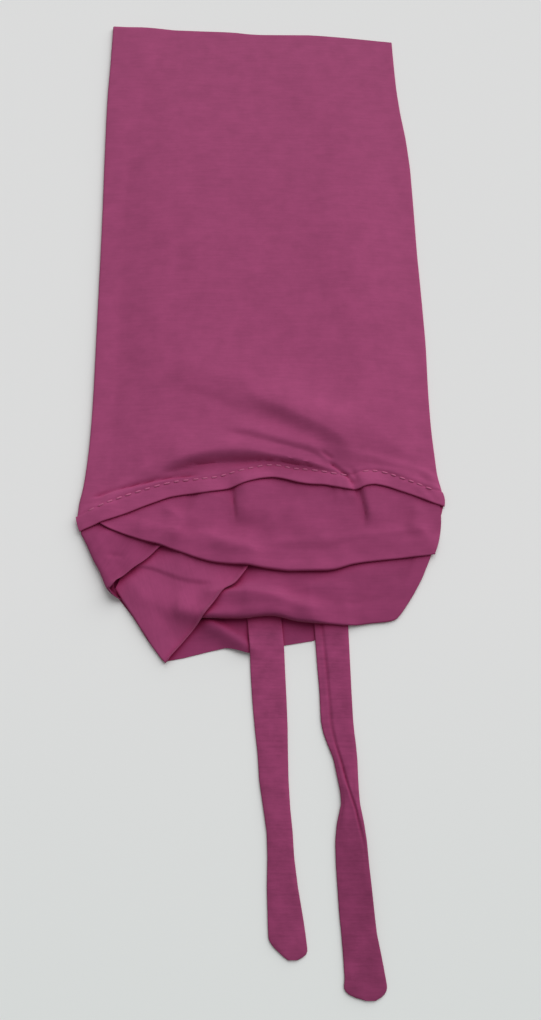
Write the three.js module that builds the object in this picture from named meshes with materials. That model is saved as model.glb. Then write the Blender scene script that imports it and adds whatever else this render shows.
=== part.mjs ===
// An underscarf cap of thin jersey, lying flat on a table as it is folded away.
// A long flat bag, the crown, is closed at the far end (+Y) and open at the near end. Its upper wall
// stops at a turned hem, and its lower wall runs on as a tongue on which the folded front lies:
// a band, a corner and a side of cloth folded over each other, a forehead panel on top of them that
// reaches into the mouth, and two ties that come out from under the band.
// Every piece is cloth of one thickness, laid on what is below it. Millimetres, +Z up, table at Z 0.
import * as THREE from "three";

// Driving sizes.
const CLOTH = 1.0; // thickness of one ply
const LAY_GAP = 0.35; // clearance between two pieces that lie on each other
const PLY_GAP = 0.4; // inside a fold, between its two plies
const MOUTH_WIDTH = 250; // flat width of the crown at the hem
const CROWN_LENGTH = 439; // from the mouth line to the closed end's far corner
const END_SLANT = 17; // how much nearer the closed end's other corner is
const HOLLOW = 5.6; // free height inside the crown
const SIDE_RISE = 42; // distance over which the upper wall rises from a side fold
const END_RISE = 34; // and from the closed end
const SIDE_OPENING = 1.2; // free height inside a side fold
const HEM_DEPTH = 11.5; // from the hem's edge to its stitch line
const FRONT_DEPTH = 104; // from the mouth line to the tip of the folded corner
const TURN_UNDER = 10; // how far a folded edge runs back under itself
const TONGUE_INSET = 2.5; // how far the tongue stays inside what is folded over it
const TIE_WIDTH = 22.4;
const TIE_PLIES = 2;
const LEFT_TIE_LENGTH = 226;
const RIGHT_TIE_LENGTH = 244;
const COVER_MARGIN = 3; // a piece counts as covering this far round its outline
const COVER_SLOPE = 22; // and what lies on it comes down over this distance
const FACET = 8.5; // largest step between two rows or columns of a laid piece

// The crown's outline. along: share of CROWN_LENGTH from the mouth line; left, right: shares of
// MOUTH_WIDTH from the middle.
const CROWN_SIDES = [
  { along: -0.0405, left: -0.481, right: 0.49 },
  { along: -0.021, left: -0.495, right: 0.492 },
  { along: -0.008, left: -0.5, right: 0.494 },
  { along: 0.005, left: -0.491, right: 0.498 },
  { along: 0.022, left: -0.484, right: 0.5 },
  { along: 0.068, left: -0.477, right: 0.487 },
  { along: 0.128, left: -0.473, right: 0.477 },
  { along: 0.2, left: -0.474, right: 0.475 },
  { along: 0.296, left: -0.479, right: 0.479 },
  { along: 0.424, left: -0.482, right: 0.473 },
  { along: 0.541, left: -0.488, right: 0.466 },
  { along: 0.687, left: -0.495, right: 0.462 },
  { along: 0.79, left: -0.5, right: 0.445 },
  { along: 0.864, left: -0.5, right: 0.434 },
  { along: 1, left: -0.498, right: 0.431 },
];

// The tongue's outline, down: share of FRONT_DEPTH from the mouth line towards the ties.
const TONGUE_SIDES = [
  { down: -0.02, left: -0.477, right: 0.486 },
  { down: 0.0, left: -0.477, right: 0.484 },
  { down: 0.16, left: -0.472, right: 0.47 },
  { down: 0.24, left: -0.464, right: 0.465 },
  { down: 0.35, left: -0.441, right: 0.447 },
  { down: 0.46, left: -0.416, right: 0.418 },
  { down: 0.54, left: -0.402, right: 0.398 },
  { down: 0.6, left: -0.368, right: 0.38 },
  { down: 0.72, left: -0.328, right: 0.345 },
  { down: 0.85, left: -0.293, right: 0.33 },
  { down: 1.0, left: -0.246, right: 0.33 },
];

// The tongue's near edge, which shows below the band. across: share of MOUTH_WIDTH.
const TONGUE_EDGE = [
  { across: -0.26, down: 0.975 },
  { across: -0.193, down: 0.972 },
  { across: -0.128, down: 0.932 },
  { across: -0.086, down: 0.908 },
  { across: -0.062, down: 0.92 },
  { across: -0.03, down: 0.944 },
  { across: 0.065, down: 0.893 },
  { across: 0.141, down: 0.862 },
  { across: 0.2, down: 0.77 },
  { across: 0.36, down: 0.66 },
];

// The hem's edge, from left to right.
const HEM_EDGE = [
  { across: -0.463, down: 0.15 },
  { across: -0.427, down: 0.114 },
  { across: -0.366, down: 0.057 },
  { across: -0.306, down: -0.01 },
  { across: -0.246, down: -0.067 },
  { across: -0.205, down: -0.086 },
  { across: -0.156, down: -0.088 },
  { across: -0.084, down: -0.126 },
  { across: -0.033, down: -0.171 },
  { across: 0.006, down: -0.198 },
  { across: 0.037, down: -0.208 },
  { across: 0.068, down: -0.194 },
  { across: 0.099, down: -0.171 },
  { across: 0.134, down: -0.158 },
  { across: 0.175, down: -0.158 },
  { across: 0.213, down: -0.135 },
  { across: 0.247, down: -0.119 },
  { across: 0.282, down: -0.139 },
  { across: 0.31, down: -0.153 },
  { across: 0.344, down: -0.143 },
  { across: 0.385, down: -0.108 },
  { across: 0.429, down: -0.067 },
  { across: 0.462, down: -0.032 },
  { across: 0.475, down: -0.018 },
];

// A folded piece: each row is one line across it, from its folded edge (x, y) to its hidden far edge
// (farX, farY), as shares of MOUTH_WIDTH across and FRONT_DEPTH down. bow pushes the line's middle
// to the right, as a share of MOUTH_WIDTH.
const BAND = [
  { x: -0.208, y: 0.692, farX: -0.208, farY: 0.29 },
  { x: -0.146, y: 0.732, farX: -0.156, farY: 0.25 },
  { x: -0.09, y: 0.732, farX: -0.102, farY: 0.25 },
  { x: -0.034, y: 0.732, farX: -0.056, farY: 0.25 },
  { x: 0.03, y: 0.715, farX: 0, farY: 0.25 },
  { x: 0.09, y: 0.745, farX: 0.052, farY: 0.24 },
  { x: 0.182, y: 0.766, farX: 0.128, farY: 0.23 },
  { x: 0.255, y: 0.769, farX: 0.19, farY: 0.212 },
  { x: 0.32, y: 0.748, farX: 0.246, farY: 0.192 },
  { x: 0.352, y: 0.735, farX: 0.29, farY: 0.182 },
  { x: 0.366, y: 0.695, farX: 0.322, farY: 0.173 },
  { x: 0.398, y: 0.574, farX: 0.352, farY: 0.163 },
  { x: 0.425, y: 0.459, farX: 0.38, farY: 0.154 },
  { x: 0.452, y: 0.312, farX: 0.41, farY: 0.144 },
  { x: 0.46, y: 0.24, farX: 0.43, farY: 0.134 },
];
const CORNER = [
  { x: -0.386, y: 0.534, farX: -0.32, farY: 0.115 },
  { x: -0.372, y: 0.582, farX: -0.168, farY: 0.183 },
  { x: -0.352, y: 0.648, farX: -0.008, farY: 0.27 },
  { x: -0.334, y: 0.707, farX: -0.035, farY: 0.391 },
  { x: -0.32, y: 0.754, farX: -0.062, farY: 0.49 },
  { x: -0.312, y: 0.781, farX: -0.074, farY: 0.522 },
  { x: -0.304, y: 0.809, farX: -0.093, farY: 0.539 },
  { x: -0.29, y: 0.857, farX: -0.12, farY: 0.637 },
  { x: -0.276, y: 0.903, farX: -0.149, farY: 0.732 },
  { x: -0.262, y: 0.947, farX: -0.188, farY: 0.849 },
  { x: -0.25, y: 0.984, farX: -0.218, farY: 0.936 },
  { x: -0.245, y: 0.998, farX: -0.228, farY: 0.964 },
];
const SIDE = [
  { x: -0.436, y: -0.04, farX: -0.24, farY: -0.02 },
  { x: -0.45, y: 0.06, farX: -0.208, farY: 0.077 },
  { x: -0.46, y: 0.13, farX: -0.216, farY: 0.135 },
  { x: -0.466, y: 0.19, farX: -0.24, farY: 0.188 },
  { x: -0.464, y: 0.245, farX: -0.27, farY: 0.248 },
  { x: -0.454, y: 0.298, farX: -0.29, farY: 0.305 },
  { x: -0.442, y: 0.354, farX: -0.316, farY: 0.37 },
  { x: -0.429, y: 0.404, farX: -0.336, farY: 0.412 },
  { x: -0.417, y: 0.457, farX: -0.357, farY: 0.454 },
  { x: -0.409, y: 0.5, farX: -0.372, farY: 0.494 },
  { x: -0.401, y: 0.55, farX: -0.38, farY: 0.528 },
];
const FOREHEAD = [
  { x: -0.432, y: 0.091, farX: -0.412, farY: -0.077 },
  { x: -0.408, y: 0.13, farX: -0.388, farY: -0.135 },
  { x: -0.366, y: 0.169, farX: -0.352, farY: -0.212 },
  { x: -0.318, y: 0.213, farX: -0.308, farY: -0.288 },
  { x: -0.269, y: 0.247, farX: -0.264, farY: -0.346 },
  { x: -0.218, y: 0.291, farX: -0.216, farY: -0.394 },
  { x: -0.166, y: 0.338, farX: -0.164, farY: -0.423 },
  { x: -0.107, y: 0.369, farX: -0.106, farY: -0.447 },
  { x: -0.034, y: 0.386, farX: -0.032, farY: -0.462 },
  { x: 0.024, y: 0.408, farX: 0.024, farY: -0.462 },
  { x: 0.074, y: 0.423, farX: 0.074, farY: -0.452 },
  { x: 0.124, y: 0.42, farX: 0.124, farY: -0.442 },
  { x: 0.175, y: 0.42, farX: 0.175, farY: -0.433 },
  { x: 0.205, y: 0.41, farX: 0.205, farY: -0.423 },
  { x: 0.242, y: 0.378, farX: 0.242, farY: -0.404 },
  { x: 0.277, y: 0.363, farX: 0.276, farY: -0.385 },
  { x: 0.348, y: 0.342, farX: 0.34, farY: -0.346 },
  { x: 0.402, y: 0.328, farX: 0.386, farY: -0.308, bow: 0.01 },
  { x: 0.451, y: 0.315, farX: 0.42, farY: -0.27, bow: 0.03 },
  { x: 0.465, y: 0.305, farX: 0.43, farY: -0.25, bow: 0.042 },
];

// A tie: each row is one section across it. along: share of its length; centre: share of
// MOUTH_WIDTH from the tie's root; width: share of TIE_WIDTH; plies: how many lie on each other,
// which grows where the tie is drawn together; tilt: how far its right edge is further along, as a
// share of TIE_WIDTH.
const LEFT_TIE = {
  root: { across: 0.01, down: 0.5 },
  rows: [
    { along: 0, centre: 0, width: 1, plies: 1, tilt: 0 },
    { along: 0.1, centre: 0.004, width: 1, plies: 1, tilt: 0 },
    { along: 0.2, centre: 0.009, width: 1, plies: 1, tilt: 0 },
    { along: 0.3, centre: 0.014, width: 0.98, plies: 1, tilt: 0 },
    { along: 0.4, centre: 0.02, width: 0.94, plies: 1.05, tilt: 0 },
    { along: 0.48, centre: 0.023, width: 0.87, plies: 1.15, tilt: 0 },
    { along: 0.55, centre: 0.027, width: 0.82, plies: 1.25, tilt: 0 },
    { along: 0.62, centre: 0.033, width: 0.75, plies: 1.35, tilt: 0 },
    { along: 0.68, centre: 0.04, width: 0.71, plies: 1.4, tilt: 0 },
    { along: 0.75, centre: 0.043, width: 0.73, plies: 1.35, tilt: 0 },
    { along: 0.81, centre: 0.045, width: 0.8, plies: 1.25, tilt: 0 },
    { along: 0.87, centre: 0.049, width: 0.89, plies: 1.1, tilt: 0 },
    { along: 0.92, centre: 0.055, width: 0.96, plies: 1, tilt: 0.04 },
    { along: 0.965, centre: 0.061, width: 0.96, plies: 1, tilt: 0.16 },
    { along: 0.985, centre: 0.07, width: 0.66, plies: 1, tilt: 0.08 },
  ],
};
const RIGHT_TIE = {
  root: { across: 0.184, down: 0.53 },
  rows: [
    { along: 0, centre: 0, width: 1, plies: 1, tilt: 0 },
    { along: 0.1, centre: 0.002, width: 1, plies: 1, tilt: 0 },
    { along: 0.2, centre: 0.004, width: 0.98, plies: 1, tilt: 0 },
    { along: 0.3, centre: 0.009, width: 0.92, plies: 1.05, tilt: 0 },
    { along: 0.37, centre: 0.013, width: 0.92, plies: 1.1, tilt: 0 },
    { along: 0.42, centre: 0.022, width: 0.82, plies: 1.3, tilt: 0 },
    { along: 0.47, centre: 0.03, width: 0.66, plies: 1.6, tilt: 0 },
    { along: 0.52, centre: 0.036, width: 0.54, plies: 2, tilt: 0 },
    { along: 0.56, centre: 0.038, width: 0.51, plies: 2.1, tilt: 0 },
    { along: 0.6, centre: 0.035, width: 0.68, plies: 1.6, tilt: 0 },
    { along: 0.64, centre: 0.036, width: 0.82, plies: 1.3, tilt: 0 },
    { along: 0.7, centre: 0.038, width: 0.86, plies: 1.15, tilt: 0 },
    { along: 0.78, centre: 0.044, width: 0.9, plies: 1.05, tilt: 0 },
    { along: 0.86, centre: 0.05, width: 0.91, plies: 1, tilt: 0 },
    { along: 0.93, centre: 0.057, width: 0.98, plies: 1, tilt: 0 },
    { along: 0.975, centre: 0.062, width: 1.1, plies: 1, tilt: 0 },
    { along: 0.992, centre: 0.061, width: 0.8, plies: 1, tilt: 0 },
  ],
};

// Soft folds raised on the crown's upper wall: a ridge from one end to the other, as shares of
// MOUTH_WIDTH across and FRONT_DEPTH up from the mouth line, with its half width and height.
const RIDGES = [
  { x: -0.3, y: 0.2, toX: -0.1, toY: 0.4, halfWidth: 11, height: 2.2 },
  { x: -0.12, y: 0.42, toX: 0.2, toY: 0.44, halfWidth: 11, height: 3.2 },
  { x: 0.02, y: 1.2, toX: 0.26, toY: 0.42, halfWidth: 13, height: 2.2 },
  { x: 0.26, y: 0.22, toX: 0.36, toY: 0.55, halfWidth: 10, height: 1.8 },
];

const { lerp, smoothstep } = THREE.MathUtils;

const across = (share) => share * MOUTH_WIDTH;
const down = (share) => -share * FRONT_DEPTH;
const along = (share) => share * CROWN_LENGTH;

// The value of one column of a table where its key column has a given value, between its rows.
function lookUp(table, key, column, at) {
  if (at <= table[0][key]) return table[0][column];
  for (let i = 1; i < table.length; i++) {
    const [before, after] = [table[i - 1], table[i]];
    if (at <= after[key])
      return lerp(before[column], after[column], (at - before[key]) / (after[key] - before[key]));
  }
  return table[table.length - 1][column];
}

// How far a point lies outside a polygon, 0 inside it.
function outside(polygon, x, y) {
  let inside = false;
  let nearest = Infinity;
  polygon.forEach(([ax, ay], i) => {
    const [bx, by] = polygon[(i + 1) % polygon.length];
    if (ay > y !== by > y && x < ax + ((bx - ax) * (y - ay)) / (by - ay)) inside = !inside;
    const [dx, dy] = [bx - ax, by - ay];
    const t = THREE.MathUtils.clamp(((x - ax) * dx + (y - ay) * dy) / (dx * dx + dy * dy || 1), 0, 1);
    nearest = Math.min(nearest, Math.hypot(x - ax - t * dx, y - ay - t * dy));
  });
  return inside ? 0 : nearest;
}

// 1 on a polygon and COVER_MARGIN round it, falling to 0 over COVER_SLOPE more.
const cover = (polygon, x, y) =>
  1 - smoothstep(outside(polygon, x, y), COVER_MARGIN, COVER_MARGIN + COVER_SLOPE);

// How far what lies on some layers is lifted above the table. A layer is a list of outlines, each
// with the height that it adds.
const lift = (layers, x, y) =>
  layers.flat().reduce((sum, { outline, height }) => sum + height * cover(outline, x, y), 0);

// A closed solid from a middle surface, given as points and four-sided faces, by moving it half the
// thickness to each side along its normals and joining the two along every open edge.
function thicken(points, faces, thicknessAt) {
  const normals = points.map(() => new THREE.Vector3());
  for (const [a, b, c, d] of faces) {
    const diagonal = new THREE.Vector3().subVectors(points[c], points[a]);
    const normal = new THREE.Vector3().subVectors(points[d], points[b]).cross(diagonal).negate();
    for (const i of [a, b, c, d]) normals[i].add(normal);
  }
  const count = points.length;
  const positions = new Float32Array(count * 6);
  points.forEach((point, i) => {
    const half = normals[i].normalize().multiplyScalar(thicknessAt(i) / 2);
    point.clone().add(half).toArray(positions, i * 3);
    point.clone().sub(half).toArray(positions, (count + i) * 3);
  });
  const index = [];
  const quad = (a, b, c, d) => index.push(a, b, c, a, c, d);
  const edges = new Map();
  for (const [a, b, c, d] of faces) {
    quad(a, b, c, d);
    quad(count + d, count + c, count + b, count + a);
    for (const [from, to] of [[a, b], [b, c], [c, d], [d, a]]) edges.set(`${from},${to}`, [from, to]);
  }
  for (const [from, to] of edges.values())
    if (!edges.has(`${to},${from}`)) quad(to, from, count + from, count + to);
  const geometry = new THREE.BufferGeometry();
  geometry.setAttribute("position", new THREE.BufferAttribute(positions, 3));
  geometry.setIndex(index);
  return geometry;
}

// The faces of a grid of points stored row after row.
function gridFaces(rows, columns) {
  const faces = [];
  for (let i = 0; i < rows - 1; i++)
    for (let j = 0; j < columns - 1; j++) {
      const at = i * columns + j;
      faces.push([at, at + 1, at + columns + 1, at + columns]);
    }
  return faces;
}

const cloth = (name, color) =>
  new THREE.MeshStandardMaterial({ name, color, roughness: 0.85, metalness: 0 });

const mesh = (name, geometry, material) => {
  const made = new THREE.Mesh(geometry, material);
  made.name = name;
  return made;
};

// A row list with more rows put in, so that neighbours are about FACET apart.
function refine(rows, gapOf) {
  const refined = [rows[0]];
  for (let i = 1; i < rows.length; i++) {
    const [before, after] = [rows[i - 1], rows[i]];
    const count = Math.ceil(gapOf(before, after) / FACET);
    for (let k = 1; k <= count; k++) {
      const row = {};
      for (const key of Object.keys(before)) row[key] = lerp(before[key], after[key], k / count);
      refined.push(row);
    }
  }
  return refined;
}

// Where a folded piece's rows lie, and which way its folded edge faces at each.
function laidRows(table) {
  const sized = table.map(({ x, y, farX, farY, bow = 0 }) => ({
    x: across(x),
    y: down(y),
    farX: across(farX),
    farY: down(farY),
    bow: across(bow),
  }));
  const gapOf = (a, b) =>
    (Math.hypot(a.x - b.x, a.y - b.y) + Math.hypot(a.farX - b.farX, a.farY - b.farY)) / 2;
  const rows = refine(sized, gapOf).map(({ x, y, farX, farY, bow }) => ({
    fold: new THREE.Vector2(x, y),
    far: new THREE.Vector2(farX, farY),
    bow,
  }));
  rows.forEach((row, i) => {
    const before = rows[Math.max(i - 1, 0)].fold;
    const after = rows[Math.min(i + 1, rows.length - 1)].fold;
    const edge = new THREE.Vector2().subVectors(after, before).normalize();
    row.outward = new THREE.Vector2(edge.y, -edge.x);
    const inward = new THREE.Vector2().subVectors(row.far, row.fold);
    row.length = inward.length();
    row.inward = inward.normalize();
    if (row.outward.dot(row.inward) > 0) row.outward.negate();
    row.under = Math.min(TURN_UNDER, row.length * 0.6);
  });
  return rows;
}

// What a folded piece adds to the height of whatever lies on it: one ply over its whole outline,
// and a second one over the strip where it is turned under.
function layerOf(rows) {
  const bowed = ({ fold, far, bow }) => [(fold.x + far.x) / 2 + bow, (fold.y + far.y) / 2];
  const last = rows[rows.length - 1];
  const turned = rows.map(({ fold, inward, under }) => fold.clone().addScaledVector(inward, under));
  const edge = rows.map(({ fold }) => fold.toArray());
  return [
    {
      outline: [...edge, bowed(last), ...rows.map(({ far }) => far.toArray()).reverse()],
      height: CLOTH + LAY_GAP,
    },
    { outline: [...edge, ...turned.map((p) => p.toArray()).reverse()], height: CLOTH + PLY_GAP },
  ];
}

// A piece of cloth laid on the layers below it and turned under along its folded edge.
const BEND_TURNS = [0, 0.25, 0.5, 0.75, 1];
function foldedCloth(name, rows, below, material) {
  const turned = layerOf(rows)[1];
  const flats = Math.ceil(Math.max(...rows.map(({ length }) => length)) / FACET);
  const points = [];
  for (const { fold, far, bow, outward, inward, length, under } of rows) {
    const radiusAt = (x, y) => ((CLOTH + PLY_GAP) * cover(turned.outline, x, y)) / 2;
    const inset = radiusAt(fold.x, fold.y) + CLOTH / 2;
    const start = fold.clone().addScaledVector(outward, -inset);
    for (let k = flats; k > 0; k--) {
      const share = k / flats;
      const at = start.clone().lerp(far, share);
      at.x += bow * 4 * share * (1 - share);
      const z = lift(below, at.x, at.y) + 2 * radiusAt(at.x, at.y) + CLOTH / 2;
      points.push(new THREE.Vector3(at.x, at.y, z));
    }
    const radius = radiusAt(start.x, start.y);
    const low = lift(below, start.x, start.y) + CLOTH / 2;
    for (const turn of BEND_TURNS) {
      const out = outward.clone().multiplyScalar(radius * Math.sin(turn * Math.PI));
      const z = low + radius * (1 + Math.cos(turn * Math.PI));
      points.push(new THREE.Vector3(start.x + out.x, start.y + out.y, z));
    }
    const end = start.clone().addScaledVector(inward, Math.min(under, length * 0.5));
    points.push(new THREE.Vector3(end.x, end.y, lift(below, end.x, end.y) + CLOTH / 2));
  }
  const columns = flats + BEND_TURNS.length + 1;
  return mesh(name, thicken(points, gridFaces(rows.length, columns), () => CLOTH), material);
}

// A tie laid on the layers below it, a flat strap of two plies.
const TIE_COLUMNS = [-0.5, -0.2, 0.2, 0.5];
function tieSections({ root, rows }, length) {
  const gapOf = (a, b) => (b.along - a.along) * length;
  return refine(rows, gapOf).map((row) => {
    const half = (TIE_WIDTH * row.width) / 2;
    const x = across(root.across + row.centre);
    const y = down(root.down) - length * row.along;
    return { x, y, half, thickness: CLOTH * TIE_PLIES * row.plies, shift: TIE_WIDTH * row.tilt };
  });
}
function tie(name, sections, below, material) {
  const points = [];
  const thickness = [];
  for (const section of sections)
    for (const share of TIE_COLUMNS) {
      const x = section.x + 2 * section.half * share;
      const y = section.y - section.shift * (share + 0.5);
      points.push(new THREE.Vector3(x, y, lift(below, x, y) + section.thickness / 2));
      thickness.push(section.thickness);
    }
  const faces = gridFaces(sections.length, TIE_COLUMNS.length);
  return mesh(name, thicken(points, faces, (i) => thickness[i]), material);
}
function tieLayer(sections) {
  const left = sections.map(({ x, y, half }) => [x - half, y]);
  const right = sections.map(({ x, y, half }) => [x + half, y]);
  return [{ outline: [...left, ...right.reverse()], height: CLOTH * TIE_PLIES + LAY_GAP }];
}

const tongueSide = (side, y) => across(lookUp(TONGUE_SIDES, "down", side, -y / FRONT_DEPTH));
const tongueEdge = (x) => down(lookUp(TONGUE_EDGE, "across", "down", x / MOUTH_WIDTH));
const crownSide = (side, y) => across(lookUp(CROWN_SIDES, "along", side, y / CROWN_LENGTH));
const hemEdge = (x) => down(lookUp(HEM_EDGE, "across", "down", x / MOUTH_WIDTH));
const closedEnd = (share) => along(1) - END_SLANT * share;

// Where the lower wall passes under the hem's ends and goes on as the tongue.
const mouthEnd = (share) => lerp(hemEdge(crownSide("left", 0)), hemEdge(crownSide("right", 0)), share);

// How far down the tongue reaches at a share of the way across it.
function tongueReach(share) {
  let y = down(1);
  for (let turn = 0; turn < 12; turn++)
    y = lerp(y, tongueEdge(lerp(tongueSide("left", y), tongueSide("right", y), share)), 0.7);
  return y;
}

// Where the crown's columns and rows are: shares of its width, shares of its length from the closed
// end, shares of the half turn at a side fold, and shares of the tongue's length.
const COLUMNS = [
  0, 0.025, 0.06, 0.11, 0.17, 0.24, 0.32, 0.4, 0.48, 0.56, 0.64, 0.72, 0.79, 0.86, 0.92, 0.965, 1,
];
const ROWS = [
  0, 0.01, 0.025, 0.045, 0.075, 0.14, 0.26, 0.38, 0.5, 0.61,
  0.7, 0.77, 0.82, 0.86, 0.885, 0.91, 0.935, 0.96, 0.98, 1,
];
const SIDE_TURNS = [0.25, 0.5, 0.75];
const TONGUE_ROWS = [0.15, 0.35, 0.6, 0.8, 1];

// The outline of the lower wall and the tongue on the table.
function crownOutline() {
  const sideOf = (side, share) => {
    const reach = tongueReach(share);
    const rows = TONGUE_SIDES.map((row) => [across(row[side]), down(row.down)]);
    return rows.filter(([, y]) => y > reach);
  };
  const near = COLUMNS.map((share) => {
    const y = tongueReach(share);
    return [lerp(tongueSide("left", y), tongueSide("right", y), share), y];
  });
  return [
    [crownSide("left", along(1)), closedEnd(0)],
    [crownSide("left", 0), 0],
    ...sideOf("left", 0),
    ...near,
    ...sideOf("right", 1).reverse(),
    [crownSide("right", 0), 0],
    [crownSide("right", along(1)), closedEnd(1)],
  ];
}

// How far the ridges raise the upper wall.
const ridgeHeight = (x, y) =>
  RIDGES.reduce((sum, ridge) => {
    const from = new THREE.Vector2(across(ridge.x), -down(ridge.y));
    const way = new THREE.Vector2(across(ridge.toX), -down(ridge.toY)).sub(from);
    const at = new THREE.Vector2(x, y).sub(from);
    const t = THREE.MathUtils.clamp(at.dot(way) / way.lengthSq(), 0, 1);
    const off = at.addScaledVector(way, -t).length() / ridge.halfWidth;
    return sum + ridge.height * Math.exp(-off * off);
  }, 0);

// The height under the crown's upper wall: the hollow, which closes towards the side folds and the
// closed end, or what is laid inside the mouth if that is higher.
const rising = (distance, rise) => 1 - (1 - THREE.MathUtils.clamp(distance / rise, 0, 1)) ** 2;
function headroom(inner, x, y) {
  const [left, right] = [crownSide("left", y), crownSide("right", y)];
  const fromSide = rising(Math.min(x - left, right - x), SIDE_RISE);
  const fromEnd = rising(closedEnd((x - left) / (right - left)) - y, END_RISE);
  const hollow = lerp(SIDE_OPENING, HOLLOW, fromSide) * fromEnd;
  const ridge = ridgeHeight(x, y) * fromSide * fromEnd;
  return CLOTH + PLY_GAP + Math.max(hollow, lift(inner, x, y)) + ridge;
}

// How far the upper wall is lifted by the hem that is turned under it.
const hemLift = (x, y) => {
  const past = y - hemEdge(x) - HEM_DEPTH;
  return (CLOTH + PLY_GAP) * (1 - smoothstep(past, COVER_MARGIN, COVER_MARGIN + COVER_SLOPE));
};

// The crown, one cloth: a bag whose sections are flat loops, closed at the far end. Its lower wall
// runs on as the tongue, its upper wall ends in the hem.
function crown(inner, material) {
  const count = COLUMNS.length;
  const loop = 2 * (count + SIDE_TURNS.length);
  const lower = (j) => count + SIDE_TURNS.length + (count - 1 - j);
  const points = [];
  const faces = [];
  const join = (a, b, c, d) => faces.push([a, b, c, d]);

  const stitchLine = (part) => {
    const x = lerp(crownSide("left", 0), crownSide("right", 0), part);
    return hemEdge(x) + HEM_DEPTH;
  };
  const wallAt = (part, share, isUpper) => {
    const near = isUpper ? stitchLine(part) : mouthEnd(part);
    const y = lerp(closedEnd(part), near, share);
    const [left, right] = [crownSide("left", y), crownSide("right", y)];
    const edge = part < 0.5 ? left : right;
    const top = headroom(inner, edge, y) + hemLift(edge, y) + CLOTH / 2;
    const radius = (top - CLOTH / 2) / 2;
    const x = lerp(left + radius + CLOTH / 2, right - radius - CLOTH / 2, part);
    const atSide = part === 0 || part === 1;
    const z = atSide ? top : headroom(inner, x, y) + hemLift(x, y) + CLOTH / 2;
    return { point: new THREE.Vector3(x, y, isUpper ? z : CLOTH / 2), radius };
  };
  const bend = (part, share, turn) => {
    const top = wallAt(part, share, true);
    const foot = wallAt(part, share, false);
    const at = top.point.clone().lerp(foot.point, turn);
    const outward = part === 0 ? -1 : 1;
    at.x += outward * lerp(top.radius, foot.radius, turn) * Math.sin(turn * Math.PI);
    at.z = lerp(foot.point.z, top.point.z, 0.5 * (1 + Math.cos(turn * Math.PI)));
    return at;
  };
  for (const share of ROWS) {
    for (const part of COLUMNS) points.push(wallAt(part, share, true).point);
    for (const turn of SIDE_TURNS) points.push(bend(1, share, turn));
    for (const part of [...COLUMNS].reverse()) points.push(wallAt(part, share, false).point);
    for (const turn of [...SIDE_TURNS].reverse()) points.push(bend(0, share, turn));
  }
  for (let i = 0; i < ROWS.length - 1; i++)
    for (let j = 0; j < loop; j++) {
      const next = (j + 1) % loop;
      join(i * loop + j, (i + 1) * loop + j, (i + 1) * loop + next, i * loop + next);
    }

  // The closed end.
  for (let j = 0; j < count - 1; j++) join(j, j + 1, lower(j + 1), lower(j));
  const bends = (first) => SIDE_TURNS.map((_, k) => first + k);
  const right = [count - 1, ...bends(count), lower(count - 1)];
  const left = [lower(0), ...bends(lower(0) + 1), 0];
  for (const [a, b, c, d, e] of [right, left]) {
    join(a, b, c, d);
    join(a, d, e, e);
  }

  // The tongue.
  const mouth = (ROWS.length - 1) * loop;
  let last = COLUMNS.map((_, j) => mouth + lower(j));
  for (const share of TONGUE_ROWS) {
    const row = COLUMNS.map((part, j) => {
      const y = lerp(points[mouth + lower(j)].y, tongueReach(part), share);
      const x = lerp(tongueSide("left", y), tongueSide("right", y), part);
      return points.push(new THREE.Vector3(x, y, CLOTH / 2)) - 1;
    });
    for (let j = 0; j < count - 1; j++) join(last[j + 1], row[j + 1], row[j], last[j]);
    last = row;
  }

  // The hem, from the stitch line to its edge and back under itself.
  const radius = (CLOTH + PLY_GAP) / 2;
  const depth = HEM_DEPTH - radius - CLOTH / 2;
  const under = (x, y) => headroom(inner, x, y) + CLOTH / 2;
  const sections = [
    ...[0.5, 1].map((share) => ({ back: depth * (1 - share), turn: 0 })),
    ...BEND_TURNS.slice(1).map((turn) => ({ back: 0, turn })),
    ...[0.5, 1].map((share) => ({ back: depth * share, turn: 1 })),
  ];
  last = COLUMNS.map((_, j) => mouth + j);
  for (const { back, turn } of sections) {
    const row = COLUMNS.map((_, j) => {
      const { x } = points[mouth + j];
      const y = hemEdge(x) + radius + CLOTH / 2 + back;
      const z = under(x, y) + radius * (1 + Math.cos(turn * Math.PI));
      return points.push(new THREE.Vector3(x, y - radius * Math.sin(turn * Math.PI), z)) - 1;
    });
    for (let j = 0; j < count - 1; j++) join(last[j], row[j], row[j + 1], last[j + 1]);
    last = row;
  }
  return mesh("crown_bag", thicken(points, faces, () => CLOTH), material);
}

// Assembly, from the table up.
const jersey = cloth("jersey", 0x95446b);
const band = laidRows(BAND);
const corner = laidRows(CORNER);
const side = laidRows(SIDE);
const forehead = laidRows(FOREHEAD);
const leftTie = tieSections(LEFT_TIE, LEFT_TIE_LENGTH);
const rightTie = tieSections(RIGHT_TIE, RIGHT_TIE_LENGTH);

const onTable = [[{ outline: crownOutline(), height: CLOTH + LAY_GAP }]];
const onTies = [...onTable, tieLayer(leftTie), tieLayer(rightTie)];
const onBand = [...onTies, layerOf(band)];
const onCorner = [...onBand, layerOf(corner)];
const onSide = [...onCorner, layerOf(side)];
const inCrown = [...onSide.slice(1), layerOf(forehead)];

const pieces = [
  crown(inCrown, jersey),
  tie("tie_left", leftTie, onTable, jersey),
  tie("tie_right", rightTie, onTable, jersey),
  foldedCloth("front_band", band, onTies, jersey),
  foldedCloth("corner_fold", corner, onBand, jersey),
  foldedCloth("side_fold", side, onCorner, jersey),
  foldedCloth("forehead_panel", forehead, onSide, jersey),
];

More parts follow.
